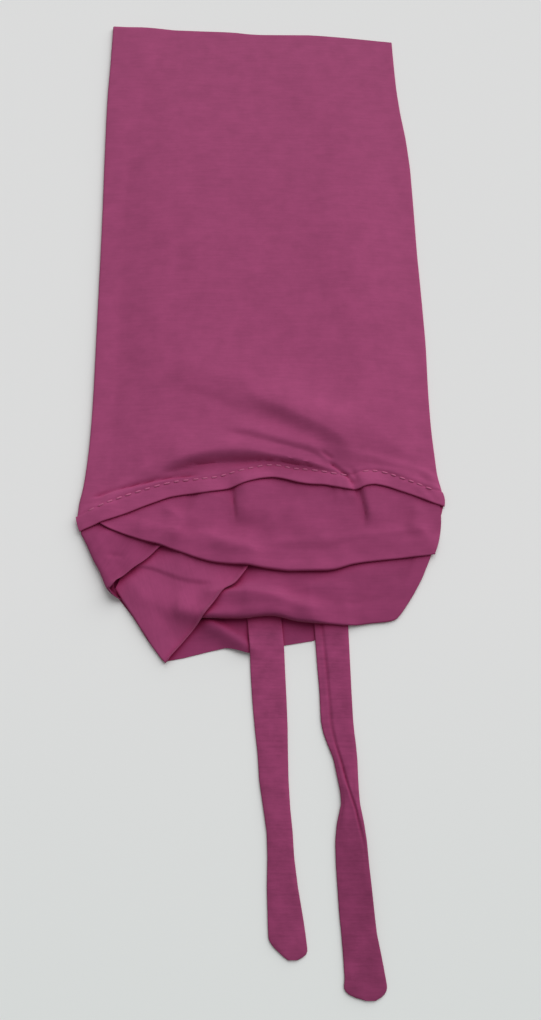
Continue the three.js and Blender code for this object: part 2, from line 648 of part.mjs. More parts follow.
// The origin is under the middle of the whole thing, on the table.
const part = new THREE.Group();
part.add(...pieces);
const box = new THREE.Box3().setFromObject(part);
const middle = box.getCenter(new THREE.Vector3());
for (const { geometry } of pieces) geometry.translate(-middle.x, -middle.y, -box.min.z);

export default part;
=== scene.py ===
"""The underscarf cap as it lies on a pale table, seen from above the ties.

Millimetres in the part's frame until a mesh is made, +Y towards the closed end. The pieces are laid
from the table up: each one rests on a grid of heights that the pieces below it have raised.
"""

import math

import bpy
import numpy as np
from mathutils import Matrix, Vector


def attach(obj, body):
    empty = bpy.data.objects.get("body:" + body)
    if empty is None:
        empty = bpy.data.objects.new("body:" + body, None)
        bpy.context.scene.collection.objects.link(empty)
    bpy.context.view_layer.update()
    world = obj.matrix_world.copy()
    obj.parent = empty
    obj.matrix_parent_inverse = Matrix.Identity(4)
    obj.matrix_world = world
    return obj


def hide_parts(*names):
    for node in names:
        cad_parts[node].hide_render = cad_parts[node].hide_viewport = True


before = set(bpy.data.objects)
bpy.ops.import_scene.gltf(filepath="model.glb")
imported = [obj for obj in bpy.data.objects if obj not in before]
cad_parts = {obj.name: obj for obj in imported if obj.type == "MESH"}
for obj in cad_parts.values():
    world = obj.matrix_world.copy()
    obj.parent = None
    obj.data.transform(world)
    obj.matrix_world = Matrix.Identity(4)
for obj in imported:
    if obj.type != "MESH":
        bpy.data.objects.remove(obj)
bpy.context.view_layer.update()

MM = 0.001
PLY = 0.6  # the jersey's thickness
REST = 0.15  # air between two pieces that lie on each other

CAMERA_PLACE = (0.0072, -0.32433, 0.6308)  # in metres, above the ties' side
CAMERA_TILT = 22  # degrees from straight down
SENSOR = 36
FOCAL, PICTURE_HEIGHT = 1000, 1020  # in pixels

scene = bpy.context.scene
camera_data = bpy.data.cameras.new("camera")
camera = bpy.data.objects.new("camera", camera_data)
scene.collection.objects.link(camera)
scene.camera = camera
camera_data.sensor_width = SENSOR
camera_data.lens = SENSOR * FOCAL / PICTURE_HEIGHT
camera.location = CAMERA_PLACE
camera.rotation_euler = (math.radians(CAMERA_TILT), 0, 0)

# ---- lines and tables


def even_line(points, step, soft, distance=None):
    """Even points along a line of table points, with its corners softened over about soft mm."""
    points = np.array(points, float)
    if distance is None:
        distance = np.linalg.norm(np.diff(points[:, :2], axis=0), axis=1)
    at = np.concatenate([[0], np.cumsum(distance)])
    count = max(int(at[-1] / step) + 1, 3)
    even = np.linspace(0, at[-1], count)
    line = np.stack([np.interp(even, at, column) for column in points.T], 1)
    spacing = at[-1] / (count - 1)
    for _ in range(int(2 * (soft / spacing) ** 2)):
        line[1:-1] = (line[:-2] + 2 * line[1:-1] + line[2:]) / 4
    return line


def curve(points, soft=3.0):
    """A function of its first column from table points, softened."""
    points = np.array(sorted(points), float)
    line = even_line(points, 1.0, soft, np.diff(points[:, 0]))
    return lambda x: np.interp(x, line[:, 0], line[:, 1])


def column_curves(table, *softs):
    """A curve over the table's first column for each of its other columns."""
    return [curve([(row[0], row[k]) for row in table], soft) for k, soft in enumerate(softs, 1)]


def step(value, low, high):
    """0 below low, 1 above high, and a smooth rise between."""
    t = np.clip((value - low) / (high - low), 0, 1)
    return t * t * (3 - 2 * t)


def mix(a, b, share):
    return a + (b - a) * share


# The crown's sides: y, left x, right x.
CROWN_SIDES = [
    (-90, -119.6, 124.4),
    (-86, -121.2, 124.6),
    (-81, -123.4, 124.6),
    (-75, -124.8, 124.6),
    (-71, -124.6, 124.7),
    (-66.5, -123.1, 126.0),
    (-62, -121.9, 126.6),
    (-57, -121.2, 124.9),
    (-52, -120.8, 122.6),
    (-44, -120.2, 121.8),
    (-30, -119.3, 121.2),
    (-10, -118.8, 119.9),
    (20, -118.9, 119.6),
    (60, -119.8, 120.2),
    (100, -120.7, 119.3),
    (140, -121.5, 118.2),
    (180, -122.5, 117.8),
    (220, -123.8, 117.2),
    (250, -124.6, 115.2),
    (275, -125.3, 112.2),
    (300, -125.6, 110.2),
    (325, -125.3, 109.3),
    (345, -125.3, 108.8),
    (372, -125.5, 108.4),
]
left_side, right_side = column_curves(CROWN_SIDES, 3, 3)

# The closed end's seam, the hem's stitch line and the hem's edge: x, y.
END_SEAM = curve([
    (-126, 368.9), (-113, 367.6), (-103, 367.2), (-92.6, 366.7), (-82.5, 365.8), (-72.3, 364.8),
    (-62, 364.3), (-42, 363.3), (-32, 362.9), (-21.8, 362.1), (-11.7, 360.5), (-1.6, 359.7),
    (18.5, 359.5), (38.7, 359.4), (48.8, 358.6), (68.8, 356.5), (88.9, 354.2), (109, 351.9),
], 2)
STITCH_LINE = curve([
    (-124, -76), (-117.8, -73), (-102.7, -66), (-91.8, -60.8), (-80.8, -56.6), (-68.7, -52.3),
    (-56.7, -49.3), (-42.7, -47.8), (-29.7, -46.2), (-18.3, -42.6), (-7.9, -39.8), (1.9, -37.2),
    (10.6, -36.7), (16.8, -38), (21.5, -39.6), (30.8, -40.1), (42.2, -41.5), (54.4, -43.8),
    (62.5, -44.8), (70.5, -42), (78.1, -41.4), (86.8, -42.8), (98, -47.1), (105.7, -50),
    (115, -54.5), (121, -56.3), (126, -57.5),
], 2)
HEM_EDGE = curve([
    (-124, -88.3), (-119.7, -86.2), (-107.3, -80.2), (-92.1, -74.2), (-77, -67.2), (-61.6, -61.1),
    (-51.2, -59.2), (-39, -58.8), (-20.9, -55), (-7.8, -50.2), (1.9, -47.3), (9.7, -46.3),
    (17.6, -47.8), (25.5, -50.1), (34.2, -51.5), (44.7, -51.8), (54.2, -54), (62.9, -55.8),
    (67.6, -55.4), (71.7, -53.5), (78.7, -52), (87.4, -53.2), (97.7, -56.9), (108.7, -61.1),
    (117.2, -64.9), (124, -67.4), (127, -68.4),
], 1.5)

# ---- resting on what is below

# The grid of heights over the table: a cell's size, the low corner, and the heights.
CELL = 1.5
GRID_LOW = np.array([-141.0, -387.0])
ground = np.zeros((189, 517))


def cells_of(x, y):
    across = np.clip((x - GRID_LOW[0]) / CELL, 0, ground.shape[0] - 1.001)
    along = np.clip((y - GRID_LOW[1]) / CELL, 0, ground.shape[1] - 1.001)
    return across, along


def height_on(field, x, y):
    """The height at each place, between the four grid points round it."""
    across, along = cells_of(x, y)
    i, j = across.astype(int), along.astype(int)
    u, v = across - i, along - j
    low = field[i, j] * (1 - u) + field[i + 1, j] * u
    high = field[i, j + 1] * (1 - u) + field[i + 1, j + 1] * u
    return low * (1 - v) + high * v


def raise_ground(points):
    """Raise the ground to the points, at the four grid points round each."""
    across, along = cells_of(points[:, 0], points[:, 1])
    i, j = across.astype(int), along.astype(int)
    for di in (0, 1):
        for dj in (0, 1):
            np.maximum.at(ground, (i + di, j + dj), points[:, 2])


def smoothed(field):
    wide = np.pad(field, 1, mode="edge")
    near = wide[:-2, 1:-1] + wide[2:, 1:-1] + wide[1:-1, :-2] + wide[1:-1, 2:]
    return (near + 4 * field) / 8


def drape(turns):
    """The surface of a cloth laid over the ground: the more turns, the stiffer the cloth."""
    field = ground.copy()
    for _ in range(turns):
        field = np.maximum(smoothed(field), ground)
    return smoothed(field)


PATH_STEP = 2.0
END_ROUND = 3  # how far a fold goes on past the ends of its path


def relief(folds, x, y):
    """How far the folds raise the cloth.

    A table of folds has the columns: height (negative for a groove), width to the left and to the
    right of the path's direction, which side ends in a sharp crease, the share of the path over
    which the fold dies away at each end, and the path.
    """
    total = np.zeros_like(x)
    for height, left, right, sharp, fade, path in folds:
        line = even_line(path, PATH_STEP, 3.0)
        way = np.gradient(line, axis=0)
        way /= np.linalg.norm(way, axis=1)[:, None]
        nearest = np.zeros(x.shape, int)
        best = np.full(x.shape, 1e9)
        for k, (px, py) in enumerate(line):
            away = (x - px) ** 2 + (y - py) ** 2
            closer = away < best
            nearest[closer] = k
            best[closer] = away[closer]
        dx, dy = x - line[nearest, 0], y - line[nearest, 1]
        along = dx * way[nearest, 0] + dy * way[nearest, 1]
        off = way[nearest, 0] * dy - way[nearest, 1] * dx
        share = np.clip((nearest + along / PATH_STEP) / (len(line) - 1), 0, 1)
        at_first, at_last = nearest == 0, nearest == len(line) - 1
        past = np.maximum(np.where(at_first, -along, np.where(at_last, along, 0)), 0)
        ends = step(share, 0, fade) * step(1 - share, 0, fade)
        ends = ends * np.exp(-((past / END_ROUND) ** 2))
        away = np.abs(off) / np.where(off > 0, left, right)
        creased = (off > 0) == (sharp == "left") if sharp else np.zeros(x.shape, bool)
        shape = np.where(creased, np.maximum(1 - away**1.7, 0), np.exp(-(away**2)))
        total += height * ends * shape
    return total


def wander(x, y, sizes, seed):
    """A slow, small unevenness, from a few waves in random directions."""
    random = np.random.default_rng(seed)
    total = np.zeros_like(x)
    for size in sizes:
        angle, phase = random.uniform(0, 2 * math.pi, 2)
        total += np.sin((x * math.cos(angle) + y * math.sin(angle)) * 2 * math.pi / size + phase)
    return total / len(sizes)


# ---- meshes


def add_sheet(name, points, faces, weave, sharp_angle):
    """A piece of the cap, from its outer points. weave holds their places on the knitted cloth."""
    mesh = bpy.data.meshes.new(name)
    mesh.from_pydata(points * MM, [], faces)
    place = mesh.attributes.new("weave", "FLOAT_VECTOR", "POINT")
    place.data.foreach_set("vector", weave.astype(np.float32).ravel())
    mesh.shade_smooth()
    mesh.set_sharp_from_angle(angle=math.radians(sharp_angle))
    made = bpy.data.objects.new(name, mesh)
    scene.collection.objects.link(made)
    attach(made, "root")
    return made


def cloth_object(name, points, faces, weave):
    """One ply from its middle surface: two sides half the thickness away, joined at open edges."""
    normals = np.zeros_like(points)
    corners = np.array([face if len(face) == 4 else (*face[:3], face[-1]) for face in faces])
    a, b, c, d = (points[corners[:, k]] for k in range(4))
    face_normals = np.cross(c - a, d - b)
    for k in range(4):
        np.add.at(normals, corners[:, k], face_normals)
    normals /= np.maximum(np.linalg.norm(normals, axis=1), 1e-9)[:, None]
    half = normals * PLY / 2
    count = len(points)
    rims = {}
    for face in faces:
        for k, start in enumerate(face):
            end = face[(k + 1) % len(face)]
            if (end, start) in rims:
                del rims[end, start]
            else:
                rims[start, end] = True
    solid = [tuple(face) for face in faces]
    solid += [tuple(count + k for k in reversed(face)) for face in faces]
    solid += [(end, start, count + start, count + end) for start, end in rims]
    both_sides = np.concatenate([points + half, points - half])
    both_weaves = np.concatenate([weave, weave])
    return add_sheet(name, both_sides, solid, both_weaves, 50)


def grid_faces(rows, columns):
    i, j = np.meshgrid(np.arange(rows - 1), np.arange(columns - 1), indexing="ij")
    at = (i * columns + j).ravel()
    strips = np.stack([at, at + 1, at + columns + 1, at + columns], 1)
    return [tuple(face) for face in strips.tolist()]


def tube_faces(rows, loop):
    """The faces between rows that are each a closed loop of points."""
    faces = []
    for i in range(rows - 1):
        for j in range(loop):
            k = (j + 1) % loop
            faces.append((i * loop + j, (i + 1) * loop + j, (i + 1) * loop + k, i * loop + k))
    return faces


def sew_row(points, faces, last, row_points, flipped=False):
    """Add a row of points and the strip of faces that joins it to the last row."""
    row = list(range(len(points), len(points) + len(row_points)))
    points.extend(row_points)
    for j in range(len(row) - 1):
        face = (last[j], row[j], row[j + 1], last[j + 1])
        faces.append(face[::-1] if flipped else face)
    return row


def weave_at(points, grain=0.0):
    """The place on the knitted cloth, for cloth whose courses run at an angle to X."""
    turn = math.radians(grain)
    x, y, z = points.T
    along = x * math.cos(turn) + y * math.sin(turn)
    return np.stack([along, y * math.cos(turn) - x * math.sin(turn), z], 1)


UNEVEN = 0.16  # how much a laid piece wanders up and down
FOLD_AIR = 0.1  # air between the plies, away from the fold
# A laid piece's columns of points: distances from the fold, shares of the fold's half turn, and
# shares of the ply beneath.
NEAR_FOLD = np.array([0, 0.5, 1.1, 1.8, 2.7, 3.8, 5.1, 6.6, 8.3, 10.2, 12.3])
FOLD_TURNS = (0.14, 0.28, 0.43, 0.57, 0.72, 0.86, 1)
BACK_SHARES = (0.3, 0.65, 1)


def fold_ways(fold, far):
    """For each row, the way out of the folded edge, the way in to the far edge, and its length."""
    way = np.gradient(fold, axis=0)
    for _ in range(6):
        way[1:-1] = (way[:-2] + 2 * way[1:-1] + way[2:]) / 4
    way /= np.linalg.norm(way, axis=1)[:, None]
    outward = np.stack([way[:, 1], -way[:, 0]], 1)
    inward = far - fold
    length = np.linalg.norm(inward, axis=1)
    inward /= length[:, None]
    outward *= np.where((outward * inward).sum(1) > 0, -1, 1)[:, None]
    return outward, inward, length


def laid_cloth(name, table, folds, under, turns, grain, loop_rows=0, curl=0.9):
    """A piece laid on the ground and turned under along its folded edge.

    The table's columns are x, y on the folded edge, x, y on the far edge, bow (how far the row's
    middle is pushed to the right), and puff (the air in the fold). under is how far the cloth runs
    back beneath, turns its stiffness, grain the angle of its courses, curl how far its far edge
    stands up. In the last loop_rows table rows the upper ply has ended, and only the fold's lower
    half goes on, as an open loop.
    """
    table = np.array(table, float)
    fold_steps = np.linalg.norm(np.diff(table[:, 0:2], axis=0), axis=1)
    far_steps = np.linalg.norm(np.diff(table[:, 2:4], axis=0), axis=1)
    steps = (fold_steps + far_steps) / 2
    rows = even_line(table, 1.25, 2.0, steps)
    bow, puff = rows[:, 4], rows[:, 5]
    outward, inward, length = fold_ways(rows[:, 0:2], rows[:, 2:4])
    field = drape(turns)
    radius = (PLY + puff) / 2
    start = rows[:, 0:2] - outward * (radius + PLY / 2)[:, None]
    places = np.concatenate([[0], np.cumsum(steps)])
    closed = round(places[len(table) - 1 - loop_rows] / places[-1] * (len(rows) - 1))
    opening = 0.5 * step(np.arange(len(rows)), closed, len(rows) - 0.99)

    def resting(x, y):
        return mix(height_on(field, x, y), 0, 2 * opening) + REST + PLY / 2

    reach = np.minimum(NEAR_FOLD[-1], length * 0.5)
    beyond = np.linspace(0, 1, max(int((length.max() - 12) / 1.6), 6))[1:]
    distances = [reach + (length - reach) * share for share in beyond[::-1]]
    distances += [distance * reach / NEAR_FOLD[-1] for distance in NEAR_FOLD[::-1]]
    top = []
    for distance in distances:
        share = distance / length
        x, y = (start + inward * distance[:, None]).T
        x = x + bow * 4 * share * (1 - share)
        air = FOLD_AIR + (puff - FOLD_AIR) * np.exp(-((distance / 6) ** 2))
        lift = (PLY + air) * (1 - step(distance, under, under + 7))
        shape = relief(folds, x, y) + UNEVEN * wander(x, y, [37, 23, 16, 29, 19, 13], 5)
        raised = curl * np.exp(-(((length - distance) / 4) ** 2))
        z = height_on(field, x, y) + REST + PLY / 2 + lift + shape + raised
        z = np.maximum(z, height_on(ground, x, y) + REST + PLY / 2 + lift * 0.6)
        top.append(np.stack([x, y, z], 1))
    x, y = start.T
    low, edge_top = resting(x, y), top[-1][:, 2]
    bend = []
    for turn in FOLD_TURNS:
        angle = mix(opening, 1, turn) * math.pi
        out = outward * (radius * np.sin(angle))[:, None]
        z = mix(low, edge_top, 0.5 * (1 + np.cos(angle)))
        bend.append(np.stack([x + out[:, 0], y + out[:, 1], z], 1))
    back = []
    for share in BACK_SHARES:
        run = np.minimum(under, length * 0.5) * share * (1 - 1.7 * opening)
        x, y = (start + inward * run[:, None]).T
        back.append(np.stack([x, y, resting(x, y)], 1))

    columns = top + bend + back
    width = len(columns)
    points = np.stack(columns, 1).reshape(-1, 3)
    faces = [
        face
        for face in grid_faces(len(rows), width)
        if face[0] // width < closed or face[0] % width >= len(top)
    ]
    used = sorted({k for face in faces for k in face})
    new = {k: i for i, k in enumerate(used)}
    points, faces = points[used], [tuple(new[k] for k in face) for face in faces]
    made = cloth_object(name, points, faces, weave_at(points, grain))
    raise_ground(np.array([vertex.co for vertex in made.data.vertices]) / MM)
    return made


# ---- the crown

# Folds of the upper wall: height, left, right, sharp side, fade, path.
CROWN_FOLDS = [
    # The creases that run down to the right, above the hem.
    (1.9, 9, 4.4, "right", 0.25, [(-30, -8.5), (-14.6, -11), (-6.3, -12.6), (2, -15),
        (10.3, -17.4), (18.6, -19.4), (26.9, -22), (35.1, -24), (43.3, -28), (53, -37)]),
    (5.4, 22, 8.0, None, 0.34, [(-18, 22), (-9, 17.5), (1.2, 11.7), (10.4, 7), (18.7, 3.8),
        (27.1, -0.9), (35.4, -5.6), (43.7, -9.4), (52.5, -14.5), (60, -20.5), (66.5, -28.5),
        (71, -36.5)]),
    (1.0, 14, 4.5, None, 0.35, [(-62, 27), (-46, 23), (-30, 17), (-14, 10), (2, 0)]),
    (2.0, 26, 13, None, 0.3, [(-70, 36), (-42, 34), (-16, 29), (8, 19)]),
    (0.5, 7, 5, None, 0.4, [(-58, 12), (-40, 6), (-24, 0)]),
    # Where the hem is pinched.
    (-1.4, 1.2, 1.1, None, 0.2, [(46, -34.6), (52.8, -39.3), (60.5, -45.8), (66.5, -54)]),
    (-0.9, 1.4, 1.2, None, 0.3, [(40.7, -27.5), (46, -30.6), (51.5, -34)]),
    (-0.8, 1.8, 1.8, None, 0.3, [(62, -38), (65, -45), (67.3, -54.2)]),
    (-0.9, 1.3, 1.3, None, 0.2, [(61.4, -48.2), (63, -51.4), (65.5, -56.5)]),
    (0.35, 6, 3.5, None, 0.25, [(71, -41), (73, -47), (76, -54)]),
    # The hem's right end.
    (0.5, 3, 3, None, 0.3, [(103.9, -50), (112.4, -57.9), (119, -64)]),
    (-0.5, 1.6, 2, None, 0.3, [(111, -52), (117, -60.1), (123, -67.4)]),
    # The end of the hem's turned ply, at the left and at the right.
    (-1.5, 1.8, 0.9, None, 0.12, [(-116, -62.6), (-108.8, -60.3), (-96.8, -56.4), (-84.7, -52.8),
        (-72.6, -49.4), (-60.3, -46.8), (-48, -45.4), (-40, -44.4)]),
    (-0.6, 7, 3, None, 0.3, [(-114, -59), (-100, -54), (-86, -49.5), (-72, -45.5)]),
    (-0.3, 4, 1.5, None, 0.2, [(71.6, -36.6), (88, -38.4), (98.9, -39.4), (109.7, -43.8),
        (117, -51)]),
    # Slow folds along the bag, and one at the right above the hem.
    (0.5, 14, 12, None, 0.4, [(40, 240), (58, 120), (62, 30)]),
    (0.4, 16, 14, None, 0.4, [(-60, 220), (-40, 110), (-50, 40)]),
    (0.6, 7, 5, None, 0.35, [(80, -16), (98, -25), (110, -34)]),
]

# Where the upper wall drops to the hem: x, y at the top of the drop, y at its foot, how much of the
# whole height drops there, and how high a ridge stands along its top.
DROP = [
    (-126, -68, -72, 0.0, 0),
    (-100, -57, -61, 0.0, 0),
    (-84, -49, -53, 0.0, 0),
    (-72, -42.5, -47, 0.0, 0),
    (-64, -37.8, -42.8, 0.2, 0.5),
    (-56, -34, -41.4, 0.9, 2.2),
    (-47.4, -32, -37.6, 0.97, 2.6),
    (-39.2, -29.9, -36, 0.97, 2.6),
    (-31, -28, -35.2, 0.97, 2.6),
    (-22.7, -27.6, -34.2, 0.97, 2.6),
    (-14.5, -27.6, -34.2, 0.97, 2.6),
    (-6.2, -27.8, -33.9, 0.97, 2.4),
    (2, -29.8, -33.2, 0.88, 1.6),
    (10.3, -31.4, -33.8, 0.72, 1.3),
    (18.5, -33.1, -34.8, 0.66, 1.3),
    (26.8, -34.9, -36.6, 0.64, 1.3),
    (35, -36.5, -38, 0.52, 1.0),
    (43.2, -38.6, -40.4, 0.2, 0.3),
    (49, -40, -41.6, 0.0, 0),
    (60, -42.6, -44.4, 0.0, 0),
    (127, -56, -58, 0.0, 0),
]
drop_top, drop_foot, drop_share, drop_ridge = column_curves(DROP, 2, 2, 3, 3)

# The tongue, which runs on from the lower wall: y, left x, right x.
TONGUE_SIDES = [
    (-66, -119, 121.7),
    (-71, -119, 121.3),
    (-84, -116, 117.8),
    (-96, -112, 115),
    (-107.4, -107, 111),
    (-118.8, -101, 104.8),
    (-127.2, -97, 99.8),
    (-133.4, -91.7, 95.3),
    (-145.9, -81.7, 86.5),
    (-159.4, -73, 82.8),
    (-175, -61.2, 82.8),
]
tongue_left, tongue_right = column_curves(TONGUE_SIDES, 2, 2)
TONGUE_EDGE = curve([
    (-66, -172.6), (-59.5, -174.2), (-48, -172), (-31.7, -167.8), (-21.2, -165.5), (-15.2, -166.7),
    (-7.2, -169.2), (4, -167), (16.5, -163.8), (35.5, -160.7), (50.3, -151.1), (90.3, -139.6),
], 1.2)
TONGUE_FOLDS = [
    (4.2, 4, 6, None, 0.25, [(-40, -143), (-34.1, -148.4), (-24.6, -153.7), (-15, -160),
        (-5.6, -166.5), (0, -170)]),
]

# How much higher the hem's stitch line lies than its edge: x, rise.
HEM_TILT = curve([
    (-124, 1.8), (-100, 2.3), (-75, 0.9), (-50, 0.4), (0, 0), (20, -1), (50, -0.4), (70, 0),
    (126, 0.2),
])

CROWN_TURNS = 10  # the upper wall's stiffness over the folded front
HOLLOW = 6.0  # free height inside
SIDE_AIR = 0.5  # and inside a side fold
# The upper wall rises between these distances from a side, from the closed end, and from the hem.
SIDE_RISE = (-4, 52)
END_RISE = (-70, 230)
MOUTH_RISE = 45
SIDE_TURNS = np.linspace(0, 1, 9)[1:-1]


def underside(inner, x, y):
    """The height under the upper wall, without its own folds. Its hem lies on the panel."""
    from_side = step(np.minimum(x - left_side(y), right_side(y) - x), *SIDE_RISE)
    from_end = step(END_SEAM(x) - y, *END_RISE)
    full = PLY + REST + mix(SIDE_AIR, HOLLOW, from_side) * from_end
    tilt = HEM_TILT(x) * np.clip((y - HEM_EDGE(x)) / 10 - 0.5, -0.5, 0.5)
    lying = height_on(inner, x, y) + 0.1 + np.abs(HEM_TILT(x)) / 2 + tilt
    gentle = 1 - (1 - np.clip((y - STITCH_LINE(x)) / MOUTH_RISE, 0, 1)) ** 2
    down = np.clip((drop_top(x) - y) / (drop_top(x) - drop_foot(x)), 0, 1)
    steep = 1 - down**1.8
    share = mix(gentle, 0.88 * steep + 0.12 * gentle, drop_share(x))
    ridge = drop_ridge(x) * np.where(down > 0, steep, np.exp(-(((y - drop_top(x)) / 13) ** 2)))
    return mix(lying, np.maximum(full, lying), share) + ridge


def wall_folds(x, y):
    edge = np.minimum(x - left_side(y), right_side(y) - x)
    inside = step(edge, 0, 9) * step(END_SEAM(x) - y, 2, 25)
    slow = 0.25 * wander(x, y, [95, 71, 120, 52, 60], 11) * step(y - STITCH_LINE(x), 0, 30)
    return (relief(CROWN_FOLDS, x, y) + slow) * inside


HEM_AIR = 0.15  # between the hem's two plies
HEM_RADIUS = (PLY + HEM_AIR) / 2


def groove(past):
    """How deep the hem's stitches pull the cloth in, by the distance past them."""
    return 0.2 * np.exp(-((past / 1.0) ** 2))


def hem_lift(x, y):
    """How far the hem's turned ply lifts the upper wall, with the groove that its stitches pull and
    the puff behind them."""
    past = y - STITCH_LINE(x)
    turned = (PLY + HEM_AIR) * (1 - step(past, 1, 6))
    behind = np.maximum(past, 0)
    puff = 0.45 * (1 - np.exp(-((behind / 2.6) ** 2))) * np.exp(-behind / 14)
    return turned + puff - groove(past)


# The crown's rows: from the stitch line, between, and from the closed end.
ROWS_FROM_MOUTH = np.concatenate(
    [[0, 0.7, 1.4, 2.2, 3.2, 4.4], np.arange(5.6, 50, 1.15), np.arange(51, 92, 2.0)]
)
ROWS_BETWEEN = np.linspace(0, 1, 58)[1:-1]
ROWS_FROM_END = np.array([0, 1.2, 2.6, 4.2, 6, 8, 10.5, 13.5, 17, 21, 25, 30])
# And its columns, as shares of its width, closest where the hem is pinched.
COLUMNS = np.concatenate(
    [np.linspace(0, 0.63, 62), np.linspace(0.63, 0.82, 37)[1:], np.linspace(0.82, 1, 18)[1:]]
)
COLUMNS = 0.85 * COLUMNS + 0.15 * (1 - np.cos(math.pi * COLUMNS)) / 2
COUNT = len(COLUMNS)


def row_places(near, end):
    """The y of each row and column, from the closed end's row to the mouth's."""
    first, last = near + ROWS_FROM_MOUTH[-1], end - ROWS_FROM_END[-1]
    rows = [end - distance for distance in ROWS_FROM_END]
    rows += [mix(last, first, t) for t in ROWS_BETWEEN]
    return rows + [near + distance for distance in ROWS_FROM_MOUTH[::-1]]


def wall_row(inner, y, is_upper):
    """A row of one wall, and the radius of the side fold beside each column."""
    left, right = left_side(y), right_side(y)
    side = np.where(COLUMNS < 0.5, left, right)
    top = underside(inner, side, y) + PLY / 2 + hem_lift(side, y)
    radius = (top - PLY / 2) / 2
    x = mix(left + radius + PLY / 2, right - radius - PLY / 2, COLUMNS)
    if not is_upper:
        return np.stack([x, y, np.full_like(x, PLY / 2)], 1), radius
    z = underside(inner, x, y) + PLY / 2 + hem_lift(x, y) + wall_folds(x, y)
    z = np.where((COLUMNS == 0) | (COLUMNS == 1), top, z)
    return np.stack([x, y, z], 1), radius


def wall_loops(inner):
    """Both walls with their side folds: rows from the closed end, each a closed loop."""
    mouth_x = mix(left_side(-73.0) + 1.3, right_side(-57.0) - 1.3, COLUMNS)
    end_x = mix(left_side(367.0) + 1.3, right_side(351.0) - 1.3, COLUMNS)
    end = END_SEAM(end_x) - PLY / 2
    upper_places = row_places(STITCH_LINE(mouth_x), end)
    lower_places = row_places(mix(-89.0, -69.5, COLUMNS), end)
    loops = []
    for upper_y, lower_y in zip(upper_places, lower_places):
        upper, radius = wall_row(inner, upper_y, True)
        lower, foot = wall_row(inner, lower_y, False)
        bends = []
        for side, outward in ((-1, 1), (0, -1)):
            bend = mix(upper[side], lower[side], SIDE_TURNS[:, None])
            bulge = mix(radius[side], foot[side], SIDE_TURNS) * np.sin(SIDE_TURNS * math.pi)
            bend[:, 0] += outward * bulge
            rise = 0.5 * (1 + np.cos(SIDE_TURNS * math.pi))
            bend[:, 2] = mix(lower[side, 2], upper[side, 2], rise)
            bends.append(bend)
        loops.append(np.concatenate([upper, bends[0], lower[::-1], bends[1][::-1]]))
    return loops


def lower_at(column):
    """Where a column of the lower wall is in its loop, which runs back along that wall."""
    return COUNT + len(SIDE_TURNS) + (COUNT - 1 - column)


def end_faces():
    """The faces that close the far end, between the walls and inside each side fold."""
    faces = [(j, j + 1, lower_at(j + 1), lower_at(j)) for j in range(COUNT - 1)]
    right_bends = [COUNT + k for k in range(len(SIDE_TURNS))]
    left_bends = [lower_at(0) + 1 + k for k in range(len(SIDE_TURNS))]
    for ring in ([COUNT - 1, *right_bends, lower_at(COUNT - 1)], [lower_at(0), *left_bends, 0]):
        while len(ring) > 3:
            faces.append((ring[0], ring[1], ring[-2], ring[-1]))
            ring = ring[1:-1]
        if len(ring) == 3:
            faces.append(tuple(ring))
    return faces


def add_tongue(points, faces, last):
    """Run the lower wall on from its last row to the tongue's edge."""
    reach = np.full(COUNT, -150.0)
    for _ in range(14):
        x = mix(tongue_left(reach), tongue_right(reach), COLUMNS)
        reach = mix(reach, TONGUE_EDGE(x), 0.7)
    first_x, first_y, _ = np.array([points[k] for k in last]).T
    for share in np.linspace(0, 1, 44)[1:]:
        y = mix(first_y, reach, share)
        x = mix(tongue_left(y), tongue_right(y), COLUMNS)
        x = mix(first_x, x, min(1, share * 6))
        z = PLY / 2 + np.maximum(relief(TONGUE_FOLDS, x, y), 0)
        last = sew_row(points, faces, last, np.stack([x, y, z], 1), flipped=True)


def add_hem(points, faces, last, inner):
    """Run the upper wall on from its stitch line to the hem's edge, and back beneath."""

    def hem_x(y):
        return mix(left_side(y) + 0.2, right_side(y) - 0.2, COLUMNS)

    first_x, first_y, _ = np.array([points[k] for k in last]).T
    edge = HEM_EDGE(first_x)
    for _ in range(3):
        edge = HEM_EDGE(hem_x(edge))
    edge = edge + HEM_RADIUS + PLY / 2
    # Sections: y, and the share of the half turn made so far.
    over = (0.06, 0.12, 0.2, 0.33, 0.48, 0.63, 0.78, 0.9, 1)
    sections = [(mix(first_y, edge, share), 0) for share in over]
    sections += [(edge, turn) for turn in (0.2, 0.4, 0.6, 0.8, 1)]
    sections += [(mix(edge, first_y, share), 1) for share in (0.3, 0.6, 0.9)]
    for y, turn in sections:
        x = hem_x(y)
        low = underside(inner, x, y) + PLY / 2 + wall_folds(x, y)
        if turn == 0:
            low = low - groove(y - first_y)
        z = low + HEM_RADIUS * (1 + math.cos(turn * math.pi))
        beyond = HEM_RADIUS * math.sin(turn * math.pi)
        last = sew_row(points, faces, last, np.stack([x, y - beyond, z], 1))


def crown():
    """The bag, its closed end, its tongue and its hem, as one cloth."""
    inner = drape(CROWN_TURNS)
    loops = wall_loops(inner)
    loop = len(loops[0])
    mouth = (len(loops) - 1) * loop
    points = list(np.concatenate(loops))
    faces = tube_faces(len(loops), loop) + end_faces()
    add_tongue(points, faces, [mouth + lower_at(j) for j in range(COUNT)])
    add_hem(points, faces, [mouth + j for j in range(COUNT)], inner)
    points = np.array(points)
    return cloth_object("crown", points, faces, weave_at(points))


